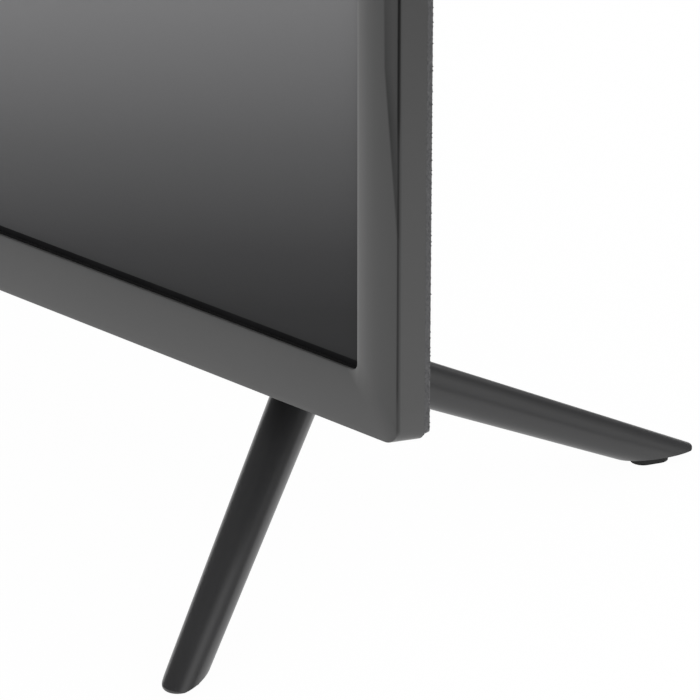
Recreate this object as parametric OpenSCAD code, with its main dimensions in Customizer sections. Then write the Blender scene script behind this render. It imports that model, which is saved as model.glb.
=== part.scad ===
// Flat screen television, 32-inch class, on two V-shaped side stands.
// The screen faces -Y, X runs along its width, Z is up and the stands rest on Z = 0.
// Pieces of the cabinet are drawn in a cabinet frame: x from the middle, depth back from the bezel's
// front face, and height up from the front face's lower edge.

/* [Screen] */
// Width of the lit picture
screen_w = 698; // [650:1:800]
// Height of the lit picture
screen_h = 392.6; // [350:0.1:450]
// Black border of the glass that shows inside the bezel
mask_w = 1.3; // [0.6:0.1:2.5]
// How far the glass reaches past the picture on each side
glass_overhang = 5; // [4:0.1:5.4]
// Thickness of the liquid crystal glass
glass_t = 1.4; // [1:0.1:1.8]
// Gap between the bezel's front wall and the glass
glass_gap = 0.8; // [0.5:0.1:1.2]
// Step of the foam gasket behind the bezel's lip
gasket_setback = 0.3; // [0.1:0.1:0.6]

/* [Bezel] */
// Width of the bezel's side bars
bezel_side = 15.5; // [15.2:0.1:20]
// Height of the bezel's top bar
bezel_top = 15.5; // [15.2:0.1:20]
// Height of the bezel's bottom bar
bezel_bottom = 18.5; // [18:0.1:25]
// Thickness of the bezel's front wall
bezel_front_t = 2; // [1.6:0.1:2.4]
// Thickness of the bezel's outer wall
bezel_wall_t = 2; // [1.6:0.1:2.2]
// Depth of the bezel's outer wall
bezel_depth = 9.4; // [9.2:0.1:12]
// How far the outer wall spreads from its front edge to its rear edge
bezel_flare = 2; // [0.5:0.1:3]
// Corner radius of the bezel's front face
bezel_corner_r = 4.5; // [3.5:0.5:8]
// Corner radius of the picture opening
opening_r = 1.2; // [0.8:0.1:3]
// Thickness of the lip that covers the gasket
lip_t = 0.9; // [0.7:0.1:1.2]
// Chamfer round the picture opening
lip_chamfer = 0.6; // [0.2:0.1:0.6]
// Radius of the screw bosses inside the bezel
boss_r = 3; // [2.4:0.1:3.2]

/* [Backlight] */
// Thickness of one optical sheet
sheet_t = 0.3; // [0.2:0.05:0.5]
// Thickness of the diffuser plate
diffuser_t = 1.5; // [1:0.1:2]
// Thickness of the middle frame's ledge between glass and sheets
ledge_t = 1; // [0.8:0.1:1.4]
// Gap between the glass edge and the middle frame
frame_gap = 0.5; // [0.3:0.1:0.8]
// Wall of the middle frame
frame_wall = 1.8; // [1.2:0.1:2]
// Thickness of the white reflector sheet
reflector_t = 0.4; // [0.3:0.1:0.6]
// Steel thickness of the backlight tray
tray_t = 0.8; // [0.6:0.1:1]
// Depth of the backlight tray
tray_depth = 17.3; // [14:0.1:22]
// How far the tray's walls lean in
tray_lean = 24; // [15:1:30]
// Distance between led bars
strip_pitch = 108; // [80:1:115]
// Height of a led bar
strip_h = 16; // [16:1:24]
// Thickness of a led bar
strip_t = 1.2; // [1:0.1:2]
// Distance between leds along a bar
led_pitch = 80; // [50:1:90]
// Radius of a led lens
lens_r = 7; // [4:0.5:7.5]
// Height of a led lens
lens_h = 5; // [3:0.5:7]

/* [Rear cover] */
// Wall of the rear cover
cover_t = 2.2; // [1.8:0.1:2.6]
// Step of the rear cover inside the bezel's rear edge
rim_inset = 0.6; // [0.3:0.1:1]
// Depth of the cover's straight textured rim
rim_depth = 3; // [2:0.1:6]
// Corner radius of the rim
rim_corner_r = 6; // [4:0.5:14]
// How far the cover's sides lean in between the rim and its flat back
slope_run = 30; // [24:1:36]
// Room for wiring between the tray and the flat back
wiring_space = 8; // [7:0.1:12]
// How far the electronics box stands behind the flat back
box_depth = 40; // [36:1:55]
// Reach of the electronics box towards the socket side
box_left = 222; // [215:1:235]
// Reach of the electronics box towards the mains side
box_right = 232; // [225:1:240]
// Height of the electronics box's lower edge
box_floor = 23; // [16:1:30]
// Height of the electronics box
box_top = 146; // [142:1:156]
// Lean of the electronics box's top
box_run = 32; // [28:1:36]
// How far the lower bar stands behind the flat back
bar_depth = 34; // [32:1:35]
// Height of the lower bar
bar_top = 46; // [46:0.5:48]
// Lean of the lower bar's top
bar_run = 10; // [6:1:12]
// Height of the cover's underside above the bezel's lower edge
cover_floor = 4; // [3:0.5:6]
// Rounding of the cover's edges
cover_edge_r = 4; // [3:0.5:6]
// Wall mount hole spacing across
vesa_w = 200; // [100:50:300]
// Wall mount hole spacing up
vesa_h = 100; // [75:25:150]
// Height of the lower wall mount holes above the electronics box
vesa_rise = 20; // [14:1:40]
// Radius of a wall mount insert
insert_r = 4.5; // [4:0.1:6]
// Radius of the wall mount thread
insert_hole_r = 2; // [1.5:0.1:3]
// Width of a vent slot
vent_w = 3; // [2:0.5:4]
// Distance between vent slots
vent_pitch = 12; // [9:1:16]
// Length of a vent slot in the box's back
vent_len = 26; // [16:1:30]
// Height of a vent slot in the box's leaning top
slope_vent_h = 16; // [10:1:18]

/* [Electronics] */
// Height of the posts that carry the boards
standoff_h = 12; // [11.5:0.5:14]
// Thickness of a circuit board
board_t = 1.6; // [1.2:0.1:2]
// Height of the boards' lower edge
board_floor = 51; // [51:0.5:54]
// Height of the main and power boards
board_h = 104; // [104:1:108]
// Width of the main board
main_w = 180; // [165:1:200]
// Width of the power board
power_w = 166; // [155:1:175]
// Gap between a board and the wall that its sockets pass through
board_gap = 3.8; // [3:0.1:5]
// Length of a speaker box
speaker_w = 140; // [110:1:150]
// Depth of a speaker box
speaker_depth = 32; // [31:0.5:34]
// Radius of a speaker cone
speaker_r = 13; // [10:0.5:13]
// Gap between a speaker box and the stand's bracket
speaker_gap = 15; // [5:1:20]

/* [Keys] */
// Radius of a key
key_r = 4; // [3:0.1:5]
// Gap round a key
key_gap = 0.25; // [0.15:0.05:0.5]
// How far a key stands out of the cover
key_proud = 1.5; // [1:0.1:3]
// Travel of a key
key_travel = 0.8; // [0.3:0.1:0.8]
// Distance between keys
key_pitch = 15; // [13:1:18]
// Distance of the key column from the bezel's side
key_inset = 54; // [50:1:70]

/* [Stand] */
// Distance of a stand's middle from the bezel's side
leg_inset = 70; // [64:1:90]
// Depth of a stand's middle behind the bezel's front face
head_depth = 39; // [37:0.5:46]
// How far the legs meet below the bezel's lower edge
head_drop = 4; // [3:0.5:8]
// Reach of a leg to the front or to the rear
leg_reach = 102; // [90:1:130]
// Reach of a leg to the side
leg_splay = 49; // [30:1:60]
// Drop of a leg from the head to the floor
leg_drop = 51; // [45:1:80]
// Radius of a leg at the head
leg_r_top = 7.5; // [6:0.1:8]
// Radius of a leg at the foot
leg_r_foot = 5.5; // [5:0.1:6]
// Length of the sharp tip that is cut off a leg's foot
tip_blunt = 1.9; // [1.5:0.1:4]
// Rounding of a leg's tip seen from above
tip_r = 5; // [5:0.1:8]
// Thickness of the stand's head plate
plate_t = 4; // [3.5:0.5:6]
// Width of the stand's head plate
plate_w = 26; // [20:1:30]
// Reach of the head plate from the legs' middle towards the set's middle
plate_in = 46; // [44:1:52]
// Reach of the head plate from the legs' middle towards the set's side
plate_out = 10; // [8:1:14]
// Radius of the round ends of an oval rubber foot pad
pad_r = 3.9; // [3:0.1:4.2]
// Length of the straight sides of a foot pad
pad_straight = 4.4; // [2:0.2:5]
// Thickness of a foot pad below the leg
pad_t = 2.3; // [1:0.1:3]
// Length of the stud that holds a pad in its leg
pad_stud = 3; // [2:0.5:4]

/* [Fasteners] */
// Radius of the small screws' shanks
screw_r = 1.45; // [1.2:0.05:1.45]
// Radius of the small screws' heads
screw_head_r = 2.7; // [2.2:0.1:2.8]
// Height of the small screws' heads
screw_head_h = 1.8; // [1.4:0.1:2.2]
// Radius of the stand screws' shanks
leg_screw_r = 2; // [1.5:0.1:2]
// Radius of the stand screws' heads
leg_screw_head_r = 3.8; // [3:0.1:3.9]
// Height of the stand screws' heads
leg_screw_head_h = 2; // [1.6:0.1:2.4]
// Gap between a screw and its thread
thread_gap = 0.05; // [0.03:0.01:0.1]
// Gap between a screw and a hole that it passes through
pass_gap = 0.25; // [0.15:0.05:0.4]

/* [Hidden] */
$fn = 64;

// Overlap of joined solids, and how far a cut runs past the face that it opens
eps = 0.01;
cut = 1;

// Outline of the bezel
open_w = screen_w + 2*mask_w;
open_h = screen_h + 2*mask_w;
front_w = open_w + 2*bezel_side;
front_h = open_h + bezel_top + bezel_bottom;
screen_z = bezel_bottom + open_h/2;
function flare_at(d) = bezel_flare*d/bezel_depth;

// Depths of the layers behind the bezel's front face
glass_d = bezel_front_t + glass_gap;
ledge_d = glass_d + glass_t;
sheet_d = ledge_d + ledge_t;
plate_d = sheet_d + 2*sheet_t;
reflector_d = plate_d + diffuser_t;
tray_d = reflector_d + reflector_t;
floor_d = tray_d + tray_depth;
strip_d = floor_d - strip_t;
tray_back_d = floor_d + tray_t;
board_d = tray_back_d + standoff_h;
board_back_d = board_d + board_t;

// Outlines of the glass, gasket seat, middle frame, sheets and tray
glass_w = screen_w + 2*glass_overhang;
glass_h = screen_h + 2*glass_overhang;
gasket_gap = 0.2;
frame_w = glass_w + 2*(frame_gap + frame_wall);
frame_h = glass_h + 2*(frame_gap + frame_wall);
ledge_over = 1;
sheet_gap = 0.5;
sheet_w = glass_w - 2*sheet_gap;
sheet_h = glass_h - 2*sheet_gap;
tray_lip = 2;
tray_w = screen_w + 2*tray_lip;
tray_h = screen_h + 2*tray_lip;
tray_floor_w = tray_w - 2*tray_lean;
tray_floor_h = tray_h - 2*tray_lean;
tray_wall = tray_t*norm([tray_lean, tray_depth])/tray_depth;
fold_gap = 0.1;

// Led bars fill the tray's floor, and supports stand between them
led_end = 20;
led_count = floor((tray_floor_w - 2*led_end)/led_pitch) + 1;
strip_count = floor(tray_floor_h/strip_pitch);
strip_w = (led_count - 1)*led_pitch + 2*led_end;
function strip_z(i) = screen_z + (i - (strip_count - 1)/2)*strip_pitch;
function led_x(k) = (k - (led_count - 1)/2)*led_pitch;
LEDS = [for (i = [0:strip_count - 1], k = [0:led_count - 1]) [led_x(k), strip_z(i)]];
lens_rim_h = 2.5;
lens_crown_r = 3.5;
lens_gap = 0.6;
support_row = [-1.5, 0, 1.5]*led_pitch;
support_tip_r = 1.5;
support_r = 4;
support_gap = 0.3;
support_foot_r = 6;
support_foot_t = 1;

// The glass is wired at its lower edge by films that pass through the middle frame
film_w = 40;
film_t = 0.3;
film_gap = 0.5;
film_count = 4;
film_pitch = 125;
source_board_w = film_count*film_pitch;
source_board_t = 1;
source_board_z = screen_z - frame_h/2 - source_board_t;
FILM_X = [for (k = [0:film_count - 1]) (k - (film_count - 1)/2)*film_pitch];

// Screw bosses lie midway between the middle frame and the bezel's outer wall
boss_x = (frame_w/2 + front_w/2 - bezel_wall_t)/2;
boss_top_z = (screen_z + frame_h/2 + front_h - bezel_wall_t)/2;
boss_low_z = (screen_z - frame_h/2 + bezel_wall_t)/2;
boss_hole_d = 6;
screw_end_gap = 1;
pilot_r = screw_r + thread_gap;
pass_r = screw_r + pass_gap;

// Places of the cover screws, as x and height
cover_screw_x = front_w/2 - 86;
cover_screw_low_z = 60;
cover_screw_high_z = front_h - 129;
COVER_SCREWS = concat(
    [for (x = [-cover_screw_x, 0, cover_screw_x]) [x, boss_top_z]],
    [for (x = [-boss_x, boss_x], z = [cover_screw_low_z, cover_screw_high_z]) [x, z]]
);

// Places of the panel clips, as x, height and the turn that points them inwards
clip_top_x = 170;
clip_low_x = front_w/2 - 66;
CLIPS = concat(
    [for (x = [-clip_top_x, clip_top_x]) [x, boss_top_z, 90]],
    [for (x = [-clip_low_x, clip_low_x]) [x, boss_low_z, -90]],
    [[-boss_x, screen_z, 0], [boss_x, screen_z, 180]]
);
clip_t = 0.8;
clip_len = 18;
clip_reach = 9;

// Remote receiver at the middle of the bottom bar, with a window that hangs below it
window_w = 26;
window_depth = 4.5;
window_drop = 4.5;
window_top = 9;
window_gap = 0.2;
window_d = bezel_front_t + 0.6;
window_shoulder = 2;
ir_board_w = 56;
ir_board_h = 7;
ir_board_t = 1;
ir_board_d = window_d + window_depth;
ir_post_x = 22;
ir_post_r = 2;

// Rear cover depths and outline
rim_end_d = bezel_depth + rim_depth;
back_d = tray_back_d + wiring_space + cover_t;
box_d = back_d + box_depth;
bar_d = back_d + bar_depth;
rim_w = front_w + 2*(bezel_flare - rim_inset);
rim_h = front_h + 2*(bezel_flare - rim_inset);
rim_z = rim_inset - bezel_flare;
side_lean = slope_run/(back_d - rim_end_d);
inner_floor = cover_floor + cover_t;
well_r = screw_head_r + 0.6;
well_wall = 1.4;
well_floor_t = 2;
vent_side = 20;
vent_edge = 12;
slope_vent_rise = 6;

// Boards, measured from the walls that their sockets pass through
main_left = -box_left + cover_t + board_gap;
main_right = main_left + main_w;
power_right = box_right - cover_t - board_gap;
power_left = power_right - power_w;
board_mid_z = board_floor + board_h/2;
board_top = board_floor + board_h;
hole_margin = 5;
main_hole_in = 44;
power_hole_in = 28;
hole_z = [board_floor + hole_margin, board_top - hole_margin];
MAIN_HOLES = [for (x = [main_left + main_hole_in, main_right - hole_margin], z = hole_z) [x, z]];
POWER_HOLES = [for (x = [power_left + hole_margin, power_right - power_hole_in], z = hole_z) [x, z]];
standoff_r = 3.5;
standoff_floor = 0.5;

// Parts on the main board
chip_side = 26;
chip_t = 2;
chip_x = main_left + 96;
memory_w = 14;
memory_h = 9;
memory_t = 1.2;
memory_x = chip_x + 34;
memory_rise = 12;
filter_r = 3;
filter_h = 8;
filter_count = 4;
filter_pitch = 9;
filter_x = main_left + 62;
filter_z = board_floor + 16;
heatsink_side = 44;
heatsink_base = 3;
fin_t = 1.4;
fin_h = 10;
fin_pitch = 5;

// Sockets on the main board, by height above the board's lower edge
headphone_z = board_floor + 15;
video_z = board_floor + 26;
usb_z = board_floor + 39;
hdmi_z = [board_floor + 55.5, board_floor + 72.5];
antenna_z = board_floor + 93;
cutout_gap = 0.4;
shell_t = 0.5;
tongue_back = 1.5;
jack_side = 9;
jack_len = 14;
jack_nose_r = 3.7;
jack_bore_r = 1.8;
jack_bore_len = 12;
usb_w = 14.5;
usb_h = 15.6;
usb_len = 14;
usb_end = 1;
usb_slot_w = 12.5;
usb_slot_h = 5.4;
usb_slot_rise = 1.3;
usb_slot_pitch = 7;
usb_tongue_w = 11.3;
usb_tongue_t = 1.6;
usb_tongue_rise = 0.5;
hdmi_w = 15;
hdmi_h = 5.9;
hdmi_len = 12;
hdmi_tongue_w = 11;
hdmi_tongue_t = 1.2;
tuner_w = 22;
tuner_h = 13;
tuner_len = 36;
tuner_in = 1;
antenna_r = 4.7;
antenna_len = 8;
antenna_ring_r = 6;
antenna_hole_r = 0.8;

// Parts on the power board
inlet_z = board_floor + 40;
inlet_w = 19;
inlet_h = 10.6;
inlet_len = 16;
inlet_wall = 1.6;
inlet_hollow = 12;
inlet_pin_r = 1.2;
inlet_pin_gap = 8.6;
inlet_pin_len = 9;
heat_plate_x = power_left + 46;
heat_plate_t = 4;
heat_plate_h = 60;
heat_plate_out = 22;
core_x = power_left + 78;
core_w = 30;
core_h = 10;
core_out = 24;
core_rise = 11;
winding_w = 26;
winding_h = 32;
winding_out = 18;
winding_d = 3;
bulk_x = power_right - 46;
bulk_z = board_mid_z + 20;
bulk_r = 11;
bulk_h = 28;
output_x = power_left + 20;
output_r = 5;
output_h = 14;
output_pitch = 18;

// Leads and their plugs
ribbon_t = 0.5;
panel_cable_w = 24;
panel_cable_x = main_right - 54;
cable_exit = 4;
cable_bend = 6;
plug_t = 3;
plug_len = 5;
plug_over = 1;
lead_t = 1.4;
power_lead_w = 18;
power_lead_over = 8;
power_plug_w = 22;
power_plug_t = 6;
backlight_lead_w = 8;
backlight_lead_x = power_right - power_w/2;
wire_t = 1.6;
wire_plug = 5;
left_wire_in = 12;
left_wire_x = main_left + main_hole_in + left_wire_in;
right_wire_in = 20;
right_wire_x = main_right - right_wire_in;
wire_in = 12;
key_lead_w = 8;
key_lead_t = 0.8;
key_lead_in = 34;
key_lead_x = main_right - key_lead_in;
key_lead_drop = 6;

// Speakers stand on the cover's floor, beside the stands' brackets
leg_x = front_w/2 - leg_inset;
speaker_x = leg_x - plate_in - speaker_gap - speaker_w;
speaker_d = back_d - 3;
speaker_top = bar_top - 3;
speaker_wall = 2;
speaker_flange = 0.8;
speaker_mid_x = speaker_x + speaker_w/2;
speaker_mid_d = speaker_d + speaker_depth/2;
cone_r = speaker_r - 2;
cone_h = 5.5;
basket_t = 2;
magnet_r = speaker_r - 4;
magnet_low = 10;
magnet_top = 18;
dust_cap_r = 3;
dust_cap_h = 4;
grille_count = 13;
grille_pitch = 5;
grille_w = 2.5;

// Keys
key_x = front_w/2 - key_inset;
key_z = box_top + box_run + 30;
key_count = 7;
key_edge = 0.6;
key_flange_t = 0.8;
key_flange_over = 1.2;
key_seat_gap = 0.3;
key_flange_d = back_d - cover_t - key_seat_gap;
key_press_gap = 0.1;
switch_side = 6;
switch_top_d = key_flange_d - key_flange_t - key_travel - key_press_gap;
switch_h = 3.2;
plunger_h = 0.4;
plunger_r = 1.6;
key_board_t = 1;
key_board_back_d = switch_top_d - plunger_h - switch_h;
key_board_w = 12;
key_board_over = 14;
key_post_r = 2.6;
key_post_in = 3.5;
key_low_z = key_z - key_board_over;
key_high_z = key_z + (key_count - 1)*key_pitch + key_board_over;
function key_height(k) = key_z + k*key_pitch;

// Wall mount inserts
vesa_low_z = box_top + box_run + vesa_rise;
insert_foot_r = insert_r + 2.5;
insert_foot_t = 1.5;
insert_gap = 0.5;
INSERTS = [for (x = [-vesa_w/2, vesa_w/2], z = [vesa_low_z, vesa_low_z + vesa_h]) [x, z]];

// Stands, in the frame of the whole set
apex_z = pad_t + leg_drop;
cabinet_z = apex_z + head_drop;
seat_z = cabinet_z + cover_floor;
leg_len = norm([leg_splay, leg_reach, leg_drop]);
leg_tilt = acos(-leg_drop/leg_len);
leg_turn = atan2(leg_reach, leg_splay);
leg_over = 20;
leg_roll = 90;
leg_taper = (leg_r_top - leg_r_foot)/leg_len;
tip_reach = leg_r_foot*leg_len/leg_drop - tip_blunt;
far = 60;
pad_back = 2.5;
pad_stud_r = 2;
pad_stud_gap = 0.1;
LEG_SCREWS_IN = [16, 36];
leg_counterbore = 2.2;
bracket_t = 2;
bracket_wall_t = 1.5;
bracket_h = 70;
bracket_end = 4;
leg_screw_len = plate_t - leg_counterbore + cover_t + bracket_t + 4;

// Vector help for outlines
function unit(v) = v/norm(v);
function left_of(v) = [-v[1], v[0]];
function turned(v, a) = [v[0]*cos(a) - v[1]*sin(a), v[0]*sin(a) + v[1]*cos(a)];
function meet(p, u, q, v) = p + u*(cross(q - p, v)/cross(u, v));
function before(i, n) = (i + n - 1) % n;
function after(i, n) = (i + 1) % n;

// An outline moved inwards by t; its points run counter-clockwise
function inset(p, t) = [for (i = [0:len(p) - 1])
    let(b = p[i], u = unit(b - p[before(i, len(p))]), v = unit(p[after(i, len(p))] - b))
    meet(b + t*left_of(u), u, b + t*left_of(v), v)];

// The points of one corner b between a and c, rounded by radius r
function corner(a, b, c, r, steps = 4) = r <= 0 ? [b] :
    let(u = unit(a - b), v = unit(c - b), half = acos(u*v)/2,
        centre = b + unit(u + v)*(r/sin(half)),
        start = b + u*(r/tan(half)) - centre,
        sweep = (180 - 2*half)*sign(cross(b - a, c - b)))
    [for (k = [0:steps]) centre + turned(start, sweep*k/steps)];

// An outline with each corner rounded by its own radius
function rounded(p, r) = [for (i = [0:len(p) - 1])
    each corner(p[before(i, len(p))], p[i], p[after(i, len(p))], r[i])];

// Outline of the rear cover seen from above, in x and depth
function cover_plan(front) =
    let(half = rim_w/2, top = half - side_lean*(box_d - rim_end_d))
    rounded([[-half, front], [half, front], [half, rim_end_d], [top, box_d],
        [-top, box_d], [-half, rim_end_d]],
        [0, 0, cover_edge_r, cover_edge_r, cover_edge_r, cover_edge_r]);

// Outline of the rear cover and its lower bar seen from the side, in depth and height
function bar_side(front) =
    let(low = rim_z, high = rim_z + rim_h)
    rounded([[front, low], [rim_end_d, low], [rim_end_d + cover_floor - low, cover_floor],
        [bar_d, cover_floor], [bar_d, bar_top], [back_d, bar_top + bar_run],
        [back_d, high - slope_run], [rim_end_d, high], [front, high]],
        [0, 0, 0, cover_edge_r, cover_edge_r, cover_edge_r, cover_edge_r, cover_edge_r, 0]);

// Outline of the electronics box seen from the side, from its root inside the flat back
function box_side() =
    let(root = back_d - 4*cover_t, high = box_top + box_run*(box_d - root)/box_depth)
    rounded([[root, box_floor], [box_d, box_floor], [box_d, box_top], [root, high]],
        [0, cover_edge_r, cover_edge_r, 0]);

// Everything in the cabinet frame
module cabinet() {
    translate([0, -head_depth, cabinet_z]) children();
}

// A copy on the other side of the middle
module both_sides() {
    children();
    mirror([1, 0, 0]) children();
}

// A box w wide and h high, t deep from depth d, centred on height z
module slab(w, h, t, d, z, x = 0) {
    translate([x - w/2, d, z - h/2]) cube([w, t, h]);
}

// A rectangular ring
module ring(w, h, inner_w, inner_h, t, d, z) {
    difference() {
        slab(w, h, t, d, z);
        slab(inner_w, inner_h, t + 2*cut, d - cut, z);
    }
}

// A round bar along the depth
module rod(r, d0, d1, x, z) {
    translate([x, d0, z]) rotate([-90, 0, 0]) cylinder(r = r, h = d1 - d0);
}

// A cone along the depth
module taper(r0, r1, d0, d1, x, z) {
    translate([x, d0, z]) rotate([-90, 0, 0]) cylinder(r1 = r0, r2 = r1, h = d1 - d0);
}

// A round bar along the width, from x0 to x1
module cross_rod(r, x0, x1, d, z) {
    translate([x0, d, z]) rotate([0, 90, 0]) cylinder(r = r, h = x1 - x0);
}

// An outline in x and depth, raised from height z0 to z1
module upright(outline, z0, z1) {
    translate([0, 0, z0]) linear_extrude(z1 - z0) polygon(outline);
}

// An outline in depth and height, run from x0 to x1
module level(outline, x0, x1) {
    translate([x0, 0, 0]) rotate([90, 0, 90]) linear_extrude(x1 - x0) polygon(outline);
}

// A slab with round corners whose four sides spread by grow from depth d0 to d1
module flared_slab(w, h, r, d0, d1, grow, z0) {
    half = w/2;
    upright([[-half, d0], [half, d0], [half + grow, d1], [-half - grow, d1]], z0 + r, z0 + h - r);
    level([[d0, z0], [d1, z0 - grow], [d1, z0 + h + grow], [d0, z0 + h]], -half + r, half - r);
    for (x = [-half + r, half - r], z = [z0 + r, z0 + h - r])
        taper(r, r + grow, d0, d1, x, z);
}

// A pan with flat leaning sides, w0 by h0 at depth d0 and w1 by h1 at depth d1
module pan(w0, h0, w1, h1, d0, d1, z) {
    intersection() {
        upright([[-w0/2, d0], [w0/2, d0], [w1/2, d1], [-w1/2, d1]], z - h0, z + h0);
        level([[d0, z - h0/2], [d1, z - h1/2], [d1, z + h1/2], [d0, z + h0/2]], -w0, w0);
    }
}

// A screw along the depth, whose head's rear face is at depth d
module small_screw(x, z, d, len) {
    rod(screw_head_r, d - screw_head_h, d, x, z);
    rod(screw_r, d - screw_head_h - len, d - screw_head_h, x, z);
}

// A flat cable bent along points in depth and height, t thick on the side away from the tray
module ribbon(path, t, x0, x1) {
    last = len(path) - 1;
    lower = [for (i = [0:last])
        path[i] - t*left_of(unit(path[min(i + 1, last)] - path[max(i - 1, 0)]))];
    level(concat(path, [for (i = [last:-1:0]) lower[i]]), x0, x1);
}

module front_bezel() color("#38383a") cabinet() {
    hollow = flare_at(bezel_front_t);
    difference() {
        flared_slab(front_w, front_h, bezel_corner_r, 0, bezel_depth, bezel_flare, 0);
        flared_slab(front_w - 2*bezel_wall_t + 2*hollow, front_h - 2*bezel_wall_t + 2*hollow,
            bezel_corner_r - bezel_wall_t + hollow, bezel_front_t, bezel_depth,
            bezel_flare - hollow, bezel_wall_t - hollow);
        flared_slab(open_w, open_h, opening_r, -cut, bezel_front_t + cut, 0, bezel_bottom);
        pan(open_w + 4*lip_chamfer, open_h + 4*lip_chamfer, open_w, open_h,
            -lip_chamfer, lip_chamfer, screen_z);
        slab(glass_w + 2*gasket_gap, glass_h + 2*gasket_gap, bezel_front_t - lip_t + eps,
            lip_t, screen_z);
        slab(window_w + 2*window_gap, 4*bezel_wall_t, window_depth + 2*window_gap,
            window_d - window_gap, 0);
    }
    for (p = concat(COVER_SCREWS, CLIPS)) difference() {
        rod(boss_r, bezel_front_t, bezel_depth, p[0], p[1]);
        rod(pilot_r, bezel_depth - boss_hole_d, bezel_depth + eps, p[0], p[1]);
    }
    for (x = [-ir_post_x, ir_post_x]) rod(ir_post_r, bezel_front_t, ir_board_d, x, boss_low_z);
}

module panel_gasket() color("#141414") cabinet()
    ring(glass_w, glass_h, open_w + 2*gasket_setback, open_h + 2*gasket_setback,
        glass_d - lip_t, lip_t, screen_z);

module lcd_panel() color("#232324") cabinet()
    slab(glass_w, glass_h, glass_t, glass_d, screen_z);

module middle_frame() color("#e8e8e4") cabinet() {
    ring(glass_w + 2*frame_gap + frame_wall, glass_h + 2*frame_gap + frame_wall,
        screen_w + 2*ledge_over, screen_h + 2*ledge_over, ledge_t, ledge_d, screen_z);
    difference() {
        ring(frame_w, frame_h, glass_w + 2*frame_gap, glass_h + 2*frame_gap,
            bezel_depth - bezel_front_t, bezel_front_t, screen_z);
        for (x = FILM_X) slab(film_w + 2*film_gap, 2*(frame_gap + frame_wall + film_gap), glass_t,
            glass_d, screen_z - frame_h/2, x);
    }
}

module prism_sheet() color("#f2f4f7") cabinet()
    slab(sheet_w, sheet_h, sheet_t, sheet_d, screen_z);

module diffusion_sheet() color("#f6f6f2") cabinet()
    slab(sheet_w, sheet_h, sheet_t, sheet_d + sheet_t, screen_z);

module diffuser_plate() color("#fafafa") cabinet()
    slab(sheet_w, sheet_h, diffuser_t, plate_d, screen_z);

module reflector_sheet() color("#ffffff") cabinet() {
    lean = tray_lean*(strip_d - tray_d)/tray_depth;
    outer_w = tray_w - 2*fold_gap;
    outer_h = tray_h - 2*fold_gap;
    inner_w = tray_w - 2*reflector_t;
    inner_h = tray_h - 2*reflector_t;
    difference() {
        union() {
            pan(outer_w, outer_h, outer_w - 2*lean, outer_h - 2*lean, tray_d - eps, strip_d, screen_z);
            slab(sheet_w, sheet_h, reflector_t, reflector_d, screen_z);
        }
        pan(inner_w, inner_h, inner_w - 2*lean, inner_h - 2*lean,
            tray_d, strip_d - reflector_t, screen_z);
        slab(inner_w, inner_h, 2*reflector_t, reflector_d - reflector_t/2, screen_z);
        for (p = LEDS) rod(lens_r + lens_gap, strip_d - cut, strip_d + cut, p[0], p[1]);
    }
}

module led_bars() color("#f0f0ea") cabinet()
    for (i = [0:strip_count - 1]) slab(strip_w, strip_h, strip_t, strip_d, strip_z(i));

module led_lenses() color("#d9e4ec") cabinet()
    for (p = LEDS) {
        rod(lens_r, strip_d - lens_rim_h, strip_d, p[0], p[1]);
        taper(lens_crown_r, lens_r, strip_d - lens_h, strip_d - lens_rim_h, p[0], p[1]);
    }

module diffuser_supports() color("#f7f7f7") cabinet() {
    foot_d = strip_d - reflector_t;
    for (x = support_row, i = [1:strip_count - 1]) {
        z = (strip_z(i - 1) + strip_z(i))/2;
        taper(support_tip_r, support_r, reflector_d + support_gap, foot_d - support_foot_t, x, z);
        rod(support_foot_r, foot_d - support_foot_t, foot_d, x, z);
    }
}

module backlight_tray() color("#b9bcbf") cabinet() {
    difference() {
        union() {
            pan(tray_w + 2*tray_wall, tray_h + 2*tray_wall, tray_floor_w + 2*tray_wall,
                tray_floor_h + 2*tray_wall, tray_d, tray_back_d, screen_z);
            slab(glass_w, glass_h, tray_t, tray_d, screen_z);
        }
        pan(tray_w, tray_h, tray_floor_w, tray_floor_h, tray_d - eps, floor_d, screen_z);
    }
    for (p = concat(MAIN_HOLES, POWER_HOLES)) difference() {
        rod(standoff_r, tray_back_d, board_d, p[0], p[1]);
        rod(pilot_r, tray_back_d + standoff_floor, board_d + eps, p[0], p[1]);
    }
}

module source_board() color("#2c6e49") cabinet()
    translate([-source_board_w/2, glass_d, source_board_z])
        cube([source_board_w, bezel_depth - glass_d, source_board_t]);

module source_films() color("#b8862e") cabinet()
    for (x = FILM_X)
        translate([x - film_w/2, glass_d + glass_t/2, source_board_z + source_board_t])
            cube([film_w, film_t, frame_gap + frame_wall]);

module panel_cable() color("#d8d2c4") cabinet() {
    exit_z = source_board_z + source_board_t/2 + ribbon_t;
    wall_d = tray_back_d + lead_t;
    bend_z = board_floor - cable_bend;
    plug_d = board_back_d + plug_t;
    ribbon([[bezel_depth, exit_z], [bezel_depth + cable_exit, exit_z], [wall_d, bend_z - cable_bend],
        [wall_d, bend_z], [plug_d, board_floor - cable_bend/2], [plug_d, board_floor + plug_len]],
        ribbon_t, panel_cable_x, panel_cable_x + panel_cable_w);
    translate([panel_cable_x - plug_over, board_back_d, board_floor + plug_over])
        cube([panel_cable_w + 2*plug_over, plug_t, plug_len]);
}

module clip(x, z, turn) {
    translate([x, bezel_depth, z]) rotate([0, turn, 0]) difference() {
        translate([-boss_r, 0, -clip_len/2]) cube([boss_r + clip_reach, clip_t, clip_len]);
        rod(pass_r, -cut, clip_t + cut, 0, 0);
    }
}

module panel_clips() color("#9fa3a6") cabinet()
    for (p = CLIPS) clip(p[0], p[1], p[2]);

module clip_screws() color("#c4c4c4") cabinet()
    for (p = CLIPS) small_screw(p[0], p[1], bezel_depth + clip_t + screw_head_h,
        clip_t + boss_hole_d - screw_end_gap);

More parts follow.
